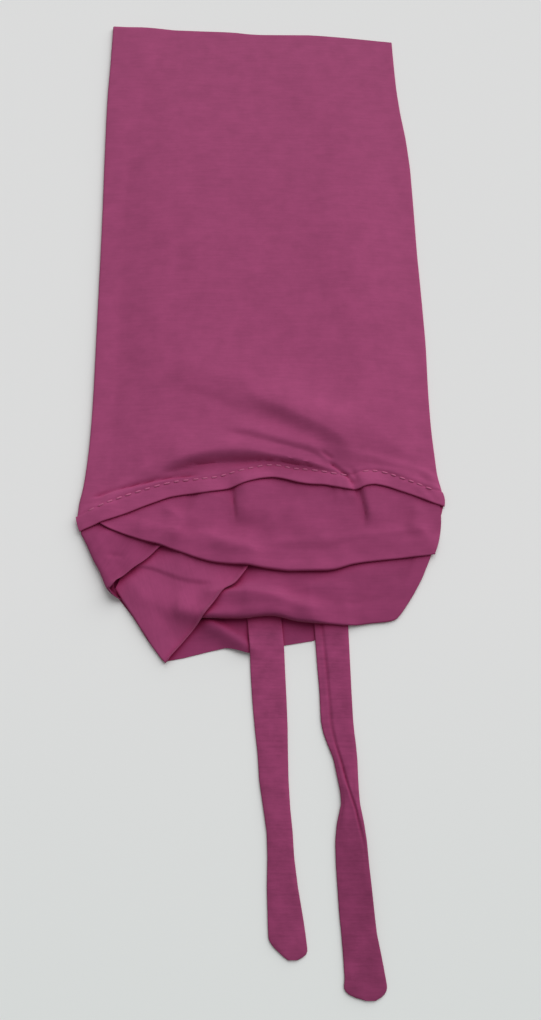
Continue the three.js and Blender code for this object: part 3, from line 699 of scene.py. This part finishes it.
def lower_ground():
    """Raise the ground by the lower wall and the tongue, before the crown itself is made."""
    x, y = np.meshgrid(np.arange(-126, 126, 1.0), np.arange(-176, 366, 1.0), indexing="ij")
    on_bag = (y > -80) & (x > left_side(y)) & (x < right_side(y)) & (y < END_SEAM(x) - 0.4)
    on_tongue = (y <= -70) & (x > tongue_left(y)) & (x < tongue_right(y)) & (y > TONGUE_EDGE(x))
    on = on_bag | on_tongue
    x, y = x[on], y[on]
    fold = np.where(y < -100, np.maximum(relief(TONGUE_FOLDS, x, y), 0), 0)
    raise_ground(np.stack([x, y, PLY + fold], 1))


# ---- the ties

# A tie's sections: y, left x, right x, how thick it is, and how far its right edge is lifted.
LEFT_TIE = [
    (-123, -9.4, 13.2, 1.5, 0),
    (-146.4, -8.1, 14.4, 1.5, 0),
    (-166, -6.3, 16.1, 1.5, 0),
    (-182.2, -5.6, 16.7, 1.5, 0.2),
    (-201, -4.3, 17.5, 1.5, 0.4),
    (-216.6, -2.8, 18.0, 1.5, 0.5),
    (-231.8, -1, 18.1, 1.6, 0.4),
    (-248.6, 0.1, 18.4, 1.7, 0.2),
    (-264.6, 2.6, 19.3, 1.8, 0),
    (-278.7, 4.7, 20.7, 1.9, 0),
    (-292.6, 5.2, 21.4, 1.8, 0.2),
    (-309.7, 4.9, 23.5, 1.6, 0.3),
    (-328, 5.4, 26.6, 1.5, 0.2),
    (-337.9, 5.8, 28, 1.5, 0),
    (-341.6, 8.1, 28.4, 1.5, 0),
    (-345, 12.0, 28.9, 1.4, 0),
    (-347.4, 14.6, 26.6, 1.3, 0),
    (-349, 17, 23, 1.2, 0),
]
RIGHT_TIE = [
    (-126, 33.6, 56.6, 1.5, 0),
    (-150.9, 35.4, 57.8, 1.5, 0),
    (-158.3, 35.8, 57.9, 1.5, 0),
    (-177.5, 36.9, 58.3, 1.5, 0),
    (-193.5, 38, 58.6, 1.5, 0),
    (-212, 38.5, 59.1, 1.6, 0),
    (-219.3, 39.8, 59.6, 1.7, 0.2),
    (-226.5, 42.3, 60.3, 1.8, 0.4),
    (-235.4, 45.8, 60.9, 2.1, 0.6),
    (-246, 47.8, 61, 2.3, 0.8),
    (-254.7, 49.4, 61.2, 2.5, 1),
    (-262, 49.9, 61.6, 2.6, 1.1),
    (-273.5, 47, 63.6, 2.2, 1.6),
    (-284, 45.8, 64.9, 1.9, 2.0),
    (-297, 45.9, 65.7, 1.7, 2.1),
    (-309.7, 46.5, 66.8, 1.6, 2.0),
    (-322.3, 47.1, 67.8, 1.5, 1.6),
    (-334.7, 48.1, 68.9, 1.5, 1.1),
    (-346.8, 48.9, 71.2, 1.5, 0.7),
    (-358.8, 49.4, 73.2, 1.5, 0.3),
    (-364, 48.6, 74, 1.5, 0),
    (-367.4, 51.6, 71.8, 1.4, 0),
    (-369, 56, 70, 1.3, 0),
    (-370, 61, 67, 1.2, 0),
]
# The right tie's lengthwise seam: y, x.
SEAM = curve([
    (-120, 37.8), (-151.6, 40.6), (-182.4, 43.2), (-201, 44.3), (-214.8, 45), (-226.5, 47.5),
    (-237.2, 50.8), (-250.4, 54), (-259, 56.5), (-265.9, 58.9), (-273.5, 60.3), (-285.7, 63.2),
    (-304.6, 65.2), (-320, 66),
], 2)
TIE_COLUMNS = np.linspace(0, 1, 23)
TIE_ROUND = np.linspace(0, math.pi, 7)[1:-1]
RIGHT_TIE_FOLDS = [
    (0.5, 2.5, 2.5, None, 0.3, [(44, -226), (51, -246), (58, -262), (62, -276)]),
    (0.5, 2.5, 2, None, 0.3, [(54, -232), (56, -250), (52, -268), (50, -284)]),
]


def tie(name, table, folds, seam):
    """A strap of doubled cloth, closed all round, and its points."""
    rows = even_line(table, 1.6, 1.6, -np.diff(np.array(table)[:, 0]))
    field = drape(14)
    loops, weave = [], []
    for y, left, right, thick, tilt in rows:
        edge = thick * 0.5
        x = left + edge + (right - left - 2 * edge) * TIE_COLUMNS
        ys = np.full_like(x, y)
        base = height_on(field, x, ys) + 0.08
        lift = tilt * TIE_COLUMNS**1.5
        shape = relief(folds, x, ys) + 0.1 * wander(x, ys, [19, 31, 14], 3)
        if seam:
            off = x - SEAM(y)
            shape = shape - step(y, -318, -270) * np.exp(-((off / 0.7) ** 2))
            shape = shape - 0.25 * (off < 0) * step(y, -262, -240)
        border = step(TIE_COLUMNS, 0, 0.12) * step(1 - TIE_COLUMNS, 0, 0.12)
        top = base + lift + thick * (0.86 + 0.14 * border) + np.maximum(shape, -0.8) * border
        low = base + lift * 0.9
        ends = []
        for corner, outward, angles in ((-1, 1, TIE_ROUND), (0, -1, TIE_ROUND[::-1])):
            centre = (top[corner] + low[corner]) / 2
            reach = (top[corner] - low[corner]) / 2
            end_x = x[corner] + outward * reach * np.sin(angles)
            end_y = np.full(len(angles), y)
            ends.append(np.stack([end_x, end_y, centre + reach * np.cos(angles)], 1))
        upper, lower = np.stack([x, ys, top], 1), np.stack([x, ys, low], 1)[::-1]
        loops.append(np.concatenate([upper, ends[0], lower, ends[1]]))
        weave.append(loops[-1] - [(left + right) / 2, 0, 0])
    count = len(loops[0])
    points = np.concatenate(loops)
    last = (len(loops) - 1) * count
    faces = tube_faces(len(loops), count)
    faces += [tuple(range(count)), tuple(range(last, last + count))[::-1]]
    made = add_sheet(name, points, faces, np.concatenate(weave), 60)
    raise_ground(points)
    return made


# ---- the folded front

# Laid pieces: x, y on the folded edge, x, y on the far edge, bow, puff. Their folds: height, left,
# right, sharp side, fade, path.
BAND = [
    (-51.7, -143, -51.7, -101, 0, 1.8),
    (-36.2, -146.9, -38.7, -97, 0, 3.4),
    (-22.2, -147.1, -25.2, -97, 0, 4.4),
    (-8.2, -147, -13.7, -97, 0, 3.8),
    (-0.5, -145.8, -6.7, -97, 0, 3.4),
    (7.7, -145.3, 0.3, -97, 0, 2.8),
    (14.3, -146.2, 6.3, -96.5, 0, 2.4),
    (22.7, -148.4, 13.3, -96, 0, 2.0),
    (35.1, -150, 24.3, -95.6, 0, 1.6),
    (45.8, -150.6, 32.3, -95, 0, 1.2),
    (55.7, -151.4, 40.3, -94, 0, 0.8),
    (64, -150.9, 47.8, -93, 0, 0.5),
    (72.3, -149.5, 54.3, -92.4, 0, 0.4),
    (80.3, -148.8, 61.8, -91, 0, 0.4),
    (85.9, -148, 68.3, -90.4, 0, 0.4),
    (88.7, -147, 72.8, -90, 0, 0.4),
    (90.7, -145.2, 77.3, -89.6, 0, 0.4),
    (93.4, -141.8, 80.8, -89, 0, 0.4),
    (100.7, -130.8, 88.3, -88, 0, 0.4),
    (107.5, -118.8, 95.3, -87, 0, 0.4),
    (111.4, -109.6, 100.3, -86.4, 0, 0.4),
    (114.2, -103.4, 103.3, -86, 0, 0.4),
    (116.5, -96, 107.8, -85, 0, 0.4),
]
BAND_FOLDS = [
    (5.8, 6, 12, None, 0.22, [(-44, -131.4), (-31, -130.6), (-19.9, -130), (-5.9, -129.7),
        (6.2, -131.8), (16, -134.9), (25.1, -138.6), (36.7, -142), (50, -145)]),
    (0.6, 1.6, 4, None, 0.15, [(-40, -130.6), (-31, -129.8), (-19.9, -129.2), (-5.9, -128.9),
        (6.2, -131), (16, -134.1), (25.1, -138.4), (36.7, -142.4)]),
    (1.2, 6, 18, None, 0.3, [(14, -131), (28.5, -127.5), (43.7, -123.5), (57.4, -118),
        (76.8, -113.6), (94, -111.5)]),
    (0.5, 7, 7, None, 0.35, [(100, -131), (92, -126), (80, -123)]),
]
CORNER = [
    (-95.2, -126.5, -79.7, -83, 0, 1.2),
    (-91.6, -131.8, -41.7, -90, 0, 1.2),
    (-87.2, -137.8, -3.7, -100, 0, 1.1),
    (-82.4, -144.6, -8.3, -111.5, 0, 1.0),
    (-79, -149.8, -13.1, -118.6, 0, 0.9),
    (-77.1, -152.8, -16.7, -124.2, 0, 0.8),
    (-75, -155.8, -20, -126, 0, 0.7),
    (-73.1, -158.4, -22.8, -127, 0, 0.6),
    (-69.9, -163.6, -29.7, -137, 0, 0.5),
    (-66.3, -168.2, -36.9, -147, 0, 0.4),
    (-63.3, -172.2, -46.7, -159.3, 0, 0.4),
    (-61.3, -174.4, -54.3, -168.6, 0, 0.4),
    (-60.1, -175.6, -57.7, -172.6, 0, 0.4),
]
CORNER_FOLDS = [
    (1.2, 10, 2.6, "right", 0.2, [(-97, -107.6), (-89.4, -108.3), (-77, -109.4), (-69, -111),
        (-59, -115), (-49.5, -118.6), (-40, -120), (-24, -122)]),
    (2.2, 14, 7, None, 0.2, [(-93, -114), (-87.3, -118.6), (-78.4, -126.2), (-68.5, -134.7),
        (-60.8, -139), (-53.1, -140.4), (-36, -143)]),
    (0.8, 8, 4, None, 0.3, [(-89, -121), (-82, -131.7), (-73.4, -146.5), (-63.8, -163)]),
]
SIDE = [
    (-110.2, -69, -61.7, -71, 0, 0.6),
    (-115.2, -77, -53.7, -79, 0, 0.8),
    (-119.6, -83, -55.7, -84.5, 0, 1.0),
    (-120.6, -87.3, -59.7, -90, 0, 1.2),
    (-118, -91.6, -63.7, -94.6, 0, 1.4),
    (-115.6, -96, -68.2, -98, 0, 1.6),
    (-112.3, -103.2, -74.2, -105, 0, 1.9),
    (-109.6, -108.5, -78.7, -109.4, 0, 2.2),
    (-105.6, -115, -84.9, -113.6, 0, 2.5),
    (-103.1, -120.6, -90.7, -118.9, 0, 2.8),
    (-101.2, -125.4, -95.2, -122.4, 0, 3.0),
    (-99.2, -128.3, -97.2, -124.2, 0, 3.0),
    (-96.8, -130.7, -93.8, -126.4, 0, 3.0),
    (-94, -132.6, -91.6, -128.4, 0, 3.0),
    (-90.7, -134, -89.4, -129.6, 0, 2.8),
]
SIDE_FOLDS = [
    (2.4, 12, 8, None, 0.25, [(-109, -78), (-108.3, -87.7), (-102.2, -99.8), (-95.5, -112.4),
        (-91, -124)]),
    (-0.5, 2.2, 1.6, None, 0.35, [(-104.9, -102.3), (-96.8, -103.7), (-88, -104.4)]),
]
FOREHEAD = [
    (-107.7, -80.5, -102.7, -63, 0, 0.0),
    (-101.7, -84.1, -96.7, -57, 0, 0.0),
    (-91.2, -88.2, -87.7, -49, 0, 0.1),
    (-79.1, -92.6, -76.7, -41, 0, 0.4),
    (-67, -96.2, -65.7, -35, 0, 0.5),
    (-54.2, -100.7, -53.7, -30, 0, 0.7),
    (-41.3, -105.5, -40.7, -27, 0, 0.8),
    (-32.8, -108, -32.7, -26, 0, 0.9),
    (-20.2, -109.6, -19.7, -24, 0, 1.1),
    (-8.3, -110.5, -8.1, -23, 0, 1.3),
    (6.2, -112.8, 6.3, -23, 0, 1.6),
    (18.8, -114.4, 18.8, -24, 0, 1.7),
    (31.4, -114.2, 31.3, -25, 0, 1.7),
    (44, -114.1, 44, -26, 0, 1.5),
    (50.7, -113.2, 50.7, -27, 0, 1.2),
    (60.9, -109.7, 60.9, -29, 0, 0.8),
    (69.5, -108.1, 69.3, -31, 0, 0.6),
    (87.3, -106, 85.3, -35, 0, 0.5),
    (100.8, -104.5, 98.8, -39, 2.0, 0.4),
    (113.1, -103.1, 112.3, -43, 4.5, 0.3),
    (116.9, -102.3, 116.4, -45, 6.2, 0.3),
]
FOREHEAD_FOLDS = [
    (3.4, 14, 9.5, "right", 0.34, [(-10.5, -36), (-9.8, -48), (-9.4, -60), (-10.4, -72),
        (-12.6, -84)]),
    (-1.2, 1.2, 1.3, None, 0.3, [(-20.5, -44), (-19.1, -55.7), (-17.6, -65.3), (-16.4, -81)]),
    (2.8, 11, 4.4, "right", 0.3, [(69.5, -38), (71, -48), (72.4, -57), (74.2, -66.3), (75.4, -75),
        (74, -86)]),
    (-2.0, 1.4, 1.2, None, 0.25, [(64.8, -46), (67.4, -57), (69.4, -66.3), (71.2, -74.2),
        (70.2, -81)]),
    (0.9, 9, 4, "right", 0.35, [(54.5, -43), (54.5, -52), (54, -59), (53.6, -68)]),
    (0.7, 5, 3, "right", 0.35, [(61, -48), (61, -56), (60, -63)]),
    (2.8, 14, 5.5, None, 0.3, [(-35.5, -46), (-38.5, -59.5), (-44, -71), (-51, -86)]),
    (1.7, 9, 4.5, None, 0.35, [(108, -62), (106, -74), (100, -90)]),
    (1.2, 14, 12, None, 0.4, [(20, -58), (26, -76), (31, -96)]),
    (0.7, 9, 7, None, 0.4, [(4, -62), (8, -76), (6, -92)]),
    (0.7, 8, 8, None, 0.4, [(46, -76), (40, -88), (42, -102)]),
    (1.0, 14, 9, None, 0.3, [(-82, -80), (-50, -90), (-20, -96), (10, -97)]),
    (0.8, 10, 8, None, 0.35, [(56, -92), (80, -90), (104, -88)]),
]


# From the table up. Each laid piece has: how far it runs back beneath, its stiffness, and its
# grain.
lower_ground()
tie_left = tie("tie_left_cloth", LEFT_TIE, [], False)
tie_right = tie("tie_right_cloth", RIGHT_TIE, RIGHT_TIE_FOLDS, True)
band = laid_cloth("band", BAND, BAND_FOLDS, 9, 40, 0)
corner = laid_cloth("corner", CORNER, CORNER_FOLDS, 9, 40, 107, curl=1.8)
side = laid_cloth(
    "side", SIDE, SIDE_FOLDS, 7, 40, 60, loop_rows=3, curl=1.8
)
forehead = laid_cloth("forehead", FOREHEAD, FOREHEAD_FOLDS, 9, 50, 0)
bag = crown()

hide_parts("tie_left")
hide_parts("tie_right")
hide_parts("front_band")
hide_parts("corner_fold")
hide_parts("side_fold")
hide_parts("forehead_panel")
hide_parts("crown_bag")


# ---- the topstitching


STITCH_LENGTH, LENGTH_SPREAD = 4.9, 0.6
STITCH_GAP, GAP_SPREAD = 1.5, 0.3
STITCH_HALF_WIDTH, STITCH_HALF_HEIGHT = 0.72, 0.4
END_DEPTH = 0.5  # how far a stitch's ends are pulled into the cloth
IN_THE_PINCH = (61.6, 72.5)  # the x between which the pinched hem hides the stitches


def unit_stitch(rings=7, sides=8):
    """A rounded rod from -1 to 1 along X, with its faces."""
    angle = np.linspace(0, 2 * math.pi, sides, endpoint=False)
    along = np.linspace(-1, 1, rings)
    girth = np.sqrt(np.clip(1 - np.abs(along) ** 3, 0, 1))
    points = [[t, g * math.cos(a), g * math.sin(a)] for t, g in zip(along, girth) for a in angle]
    faces = [face[:1] + face[:0:-1] for face in tube_faces(rings, sides)]
    faces.append(tuple(range(sides))[::-1])
    faces.append(tuple((rings - 1) * sides + k for k in range(sides)))
    return np.array(points), faces


def topstitching():
    """The hem's row of stitches, each with its own length, along the stitch line."""
    inner = drape(CROWN_TURNS)
    xs = np.linspace(-117, 120, 2000)
    ys = STITCH_LINE(xs) - 0.15
    at = np.concatenate([[0], np.cumsum(np.hypot(np.diff(xs), np.diff(ys)))])
    random = np.random.default_rng(4)
    unit, unit_faces = unit_stitch()
    sunk_and_shade = unit[:, 0] ** 6
    points, faces, depths = [], [], []
    here = 1.0
    while here < at[-1] - 4:
        length = STITCH_LENGTH + random.uniform(-LENGTH_SPREAD, LENGTH_SPREAD)
        if IN_THE_PINCH[0] < np.interp(here + length / 2, at, xs) < IN_THE_PINCH[1]:
            here += 1.0
            continue
        ends = []
        for distance in (here, here + length):
            x, y = (np.array([np.interp(distance, at, line)]) for line in (xs, ys))
            low = underside(inner, x, y) + wall_folds(x, y) + hem_lift(x, y)
            ends.append(np.array([x[0], y[0], low[0] + PLY + 0.2]))
        middle, way = (ends[0] + ends[1]) / 2, (ends[1] - ends[0]) / 2
        across = np.cross([0, 0, 1], way)
        across /= np.linalg.norm(across)
        up = np.cross(way, across)
        up /= np.linalg.norm(up)
        placed = middle + unit[:, :1] * way + unit[:, 1:2] * across * STITCH_HALF_WIDTH
        placed = placed + unit[:, 2:] * up * STITCH_HALF_HEIGHT - up * END_DEPTH * sunk_and_shade[:, None]
        faces += [tuple(len(points) + k for k in face) for face in unit_faces]
        points.extend(placed)
        depths.extend(sunk_and_shade)
        here += length + STITCH_GAP + random.uniform(-GAP_SPREAD, GAP_SPREAD)
    mesh = bpy.data.meshes.new("topstitching")
    mesh.from_pydata(np.array(points) * MM, [], faces)
    # The same share marks the thread's ends for painted shade in the material.
    depth = mesh.attributes.new("sunk_and_shade", "FLOAT", "POINT")
    depth.data.foreach_set("value", np.array(depths, np.float32))
    mesh.shade_smooth()
    made = bpy.data.objects.new("topstitching", mesh)
    scene.collection.objects.link(made)
    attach(made, "root")
    return made


thread = topstitching()

# ---- materials


def new_material(name):
    material = bpy.data.materials.new(name)
    material.use_nodes = True
    tree = material.node_tree
    return material, tree, tree.nodes["Principled BSDF"]


def fill(tree, node, inputs):
    """Set a node's inputs: each to a constant, or linked to another node's output."""
    for key, value in inputs.items():
        if isinstance(value, bpy.types.NodeSocket):
            tree.links.new(value, node.inputs[key])
        else:
            node.inputs[key].default_value = value


def add(tree, kind, inputs, **settings):
    node = tree.nodes.new(kind)
    for key, value in settings.items():
        setattr(node, key, value)
    fill(tree, node, inputs)
    return node


def mapped(tree, value, low, high, to_low=0.0, to_high=1.0):
    """value, from between low and high to between to_low and to_high."""
    inputs = {"Value": value, "From Min": low, "From Max": high}
    inputs |= {"To Min": to_low, "To Max": to_high}
    return add(tree, "ShaderNodeMapRange", inputs).outputs["Result"]


def blended(tree, share, first, second):
    inputs = {"Factor": share, "A": first, "B": second}
    return add(tree, "ShaderNodeMix", inputs, data_type="RGBA").outputs["Result"]


def ramped(tree, value, colours, positions=(0, 1)):
    """The colour between two colours that stand at two positions."""
    node = add(tree, "ShaderNodeValToRGB", {"Fac": value})
    for element, colour, position in zip(node.color_ramp.elements, colours, positions):
        element.position = position
        element.color = (*colour, 1)
    return node.outputs["Color"]


def jersey(name, colour, ends=1.0, streaks=0.10):
    """Knitted viscose: thin uneven courses with slubs, a fine rib of loops, and soft mottling, with
    painted shade that darkens the colour in creases. A tie gets painted shade towards its free end,
    down to the share ends of its colour, where the light falls off."""
    material, tree, shader = new_material(name)
    place = add(tree, "ShaderNodeAttribute", {}, attribute_name="weave").outputs["Vector"]

    def stretched(scale):
        mapping = add(tree, "ShaderNodeMapping", {"Vector": place, "Scale": scale})
        return mapping.outputs["Vector"]

    def noise(vector, scale, detail, roughness):
        inputs = {"Vector": vector, "Scale": scale, "Detail": detail, "Roughness": roughness}
        return add(tree, "ShaderNodeTexNoise", inputs).outputs["Fac"]

    def weighed(value, weight, rest=0.0):
        inputs = {0: value, 1: weight, 2: rest}
        return add(tree, "ShaderNodeMath", inputs, operation="MULTIPLY_ADD").outputs["Value"]

    slubs = noise(stretched((0.06, 0.62, 0.1)), 1.0, 3.0, 0.65)
    fine = noise(stretched((0.3, 1.6, 0.3)), 1.0, 2.0, 0.6)
    mottle = noise(place, 0.08, 4.0, 0.6)
    pattern = weighed(slubs, 0.45, weighed(mottle, 0.7, weighed(fine, 0.2)))
    wave = {"Scale": 1.0, "Distortion": 1.2, "Detail": 1.0, "Detail Scale": 2.0}
    wave["Vector"] = stretched((0.32, 0.05, 0.05))
    ribs = add(tree, "ShaderNodeTexWave", wave).outputs["Fac"]

    shades = [[c * (1 - streaks) for c in colour], [c * (1 + streaks) for c in colour]]
    dyed = ramped(tree, pattern, shades, (0.475, 0.875))
    # Painted shade: in creases, where the ambient occlusion is low, the colour is mixed towards a
    # darker, redder plum, for the light that the cloth throws on itself there.
    nearby = add(tree, "ShaderNodeAmbientOcclusion", {"Distance": 0.012}, samples=6)
    openness = mapped(tree, nearby.outputs["AO"], 0.4, 0.93)
    painted_crease_shade = (colour[0], colour[1] * 0.25, colour[2] * 0.55, 1)
    parts = add(tree, "ShaderNodeSeparateXYZ", {"Vector": place})
    # Painted shade: a tie's colour is scaled down towards its free end, to the share ends, for the
    # light that falls off towards the viewer.
    painted_shade_inputs = {
        "Vector": blended(tree, openness, painted_crease_shade, dyed),
        "Scale": mapped(tree, parts.outputs["Y"], -160.0, -300.0, 1.0, ends),
    }
    base = add(tree, "ShaderNodeVectorMath", painted_shade_inputs, operation="SCALE").outputs["Vector"]
    knit = {"Height": weighed(ribs, 0.08, pattern), "Strength": 0.3, "Distance": 0.0002}
    surface = {
        "Base Color": base,
        "Normal": add(tree, "ShaderNodeBump", knit).outputs["Normal"],
        "Roughness": 0.86,
        "Specular IOR Level": 0.12,
        "Sheen Weight": 0.14,
        "Sheen Roughness": 0.45,
        "Sheen Tint": (1.0, 0.8, 0.9, 1),
    }
    fill(tree, shader, surface)
    return material


PLUM = (0.330, 0.0570, 0.156)


def shaded_plum(tone):
    """Plum, darker, for painted shade: the green falls fastest, then the blue."""
    return tuple(c * tone**power for c, power in zip(PLUM, (1, 1.5, 1.1)))


def add_materials(piece, first, second, is_second):
    """Two materials for a piece. is_second says which faces, by their middle, get the second."""
    piece.data.materials.append(first)
    piece.data.materials.append(second)
    slots = [1 if is_second(face.center) else 0 for face in piece.data.polygons]
    piece.data.polygons.foreach_set("material_index", slots)


# Painted shade: the front's pieces and the ties are darker than the bag, for the light that falls
# off towards the viewer, and the tongue and the inside of the side fold darker still, for the shade
# under the band's edge and inside the fold: each piece's tone, and for a tie the share of it at the
# free end.
TONGUE_SHADE, INSIDE_SHADE = 0.76, 0.5
FRONT_SHADES = [(forehead, 0.875), (corner, 0.90), (band, 0.81)]
SIDE_SHADE = 0.775
TIE_SHADES = [(tie_left, 0.90, 0.84), (tie_right, 0.85, 0.82)]

# The tongue's faces, below y -0.1 m, get the plum with painted shade.
add_materials(
    bag,
    jersey("plum_jersey", PLUM),
    jersey("tongue_shade_jersey", shaded_plum(TONGUE_SHADE)),
    lambda middle: middle.y < -0.1,
)
for piece, tone in FRONT_SHADES:
    piece.data.materials.append(jersey(piece.name + "_jersey", shaded_plum(tone)))
# The inside of the side fold's loop gets a darker plum: painted shade.
add_materials(
    side,
    jersey("side_jersey", shaded_plum(SIDE_SHADE)),
    jersey("inside_shade_jersey", shaded_plum(INSIDE_SHADE)),
    lambda middle: middle.y < -0.1262 and middle.x < -0.0885,
)
for piece, tone, ends in TIE_SHADES:
    piece.data.materials.append(jersey(piece.name + "_jersey", shaded_plum(tone), ends, streaks=0.2))

# Thread a little lighter than the cloth. Where it goes into the cloth it gets painted shade, a dark
# plum for the shadowed needle holes.
material, tree, shader = new_material("topstitch_thread")
twist = add(tree, "ShaderNodeTexNoise", {"Scale": 900.0, "Detail": 2.0}).outputs["Fac"]
lit = ramped(tree, twist, [(0.36, 0.078, 0.175), (0.50, 0.125, 0.255)])
sunk_and_shade = add(tree, "ShaderNodeAttribute", {}, attribute_name="sunk_and_shade").outputs["Fac"]
colour = blended(tree, sunk_and_shade, lit, (0.10, 0.010, 0.035, 1))
fill(tree, shader, {"Base Color": colour, "Roughness": 0.8, "Specular IOR Level": 0.15})
thread.data.materials.append(material)

# ---- table, light

floor_mesh = bpy.data.meshes.new("floor")
floor_mesh.from_pydata([(-3, -3, 0), (3, -3, 0), (3, 3, 0), (-3, 3, 0)], [], [(0, 1, 2, 3)])
floor = bpy.data.objects.new("floor", floor_mesh)
scene.collection.objects.link(floor)
# Painted shade: the table darkens a little towards the viewer, where the light falls off.
material, tree, shader = new_material("pale_table")
spot = add(tree, "ShaderNodeNewGeometry", {}).outputs["Position"]
parts = add(tree, "ShaderNodeSeparateXYZ", {"Vector": spot})
painted_falloff = mapped(tree, parts.outputs["Y"], -0.12, -0.42)
colour = blended(tree, painted_falloff, (0.796, 0.80, 0.798, 1), (0.745, 0.775, 0.762, 1))
fill(tree, shader, {"Base Color": colour, "Roughness": 0.9, "Specular IOR Level": 0.1})
floor.data.materials.append(material)

world = bpy.data.worlds.new("studio")
scene.world = world
world.use_nodes = True
sky = world.node_tree.nodes["Background"]
fill(world.node_tree, sky, {"Color": (1, 1, 1, 1), "Strength": 0.32})

# A broad soft light from beyond the closed end, at the right.
KEY_WAY = (-0.45, -0.64, -0.61)
key_data = bpy.data.lights.new("key", "SUN")
key_data.energy = 2.9
key_data.angle = math.radians(75)
key = bpy.data.objects.new("key", key_data)
scene.collection.objects.link(key)
key.rotation_mode = "QUATERNION"
key.rotation_quaternion = Vector(KEY_WAY).to_track_quat("-Z", "Y")

scene.view_settings.view_transform = "Standard"
scene.view_settings.look = "None"
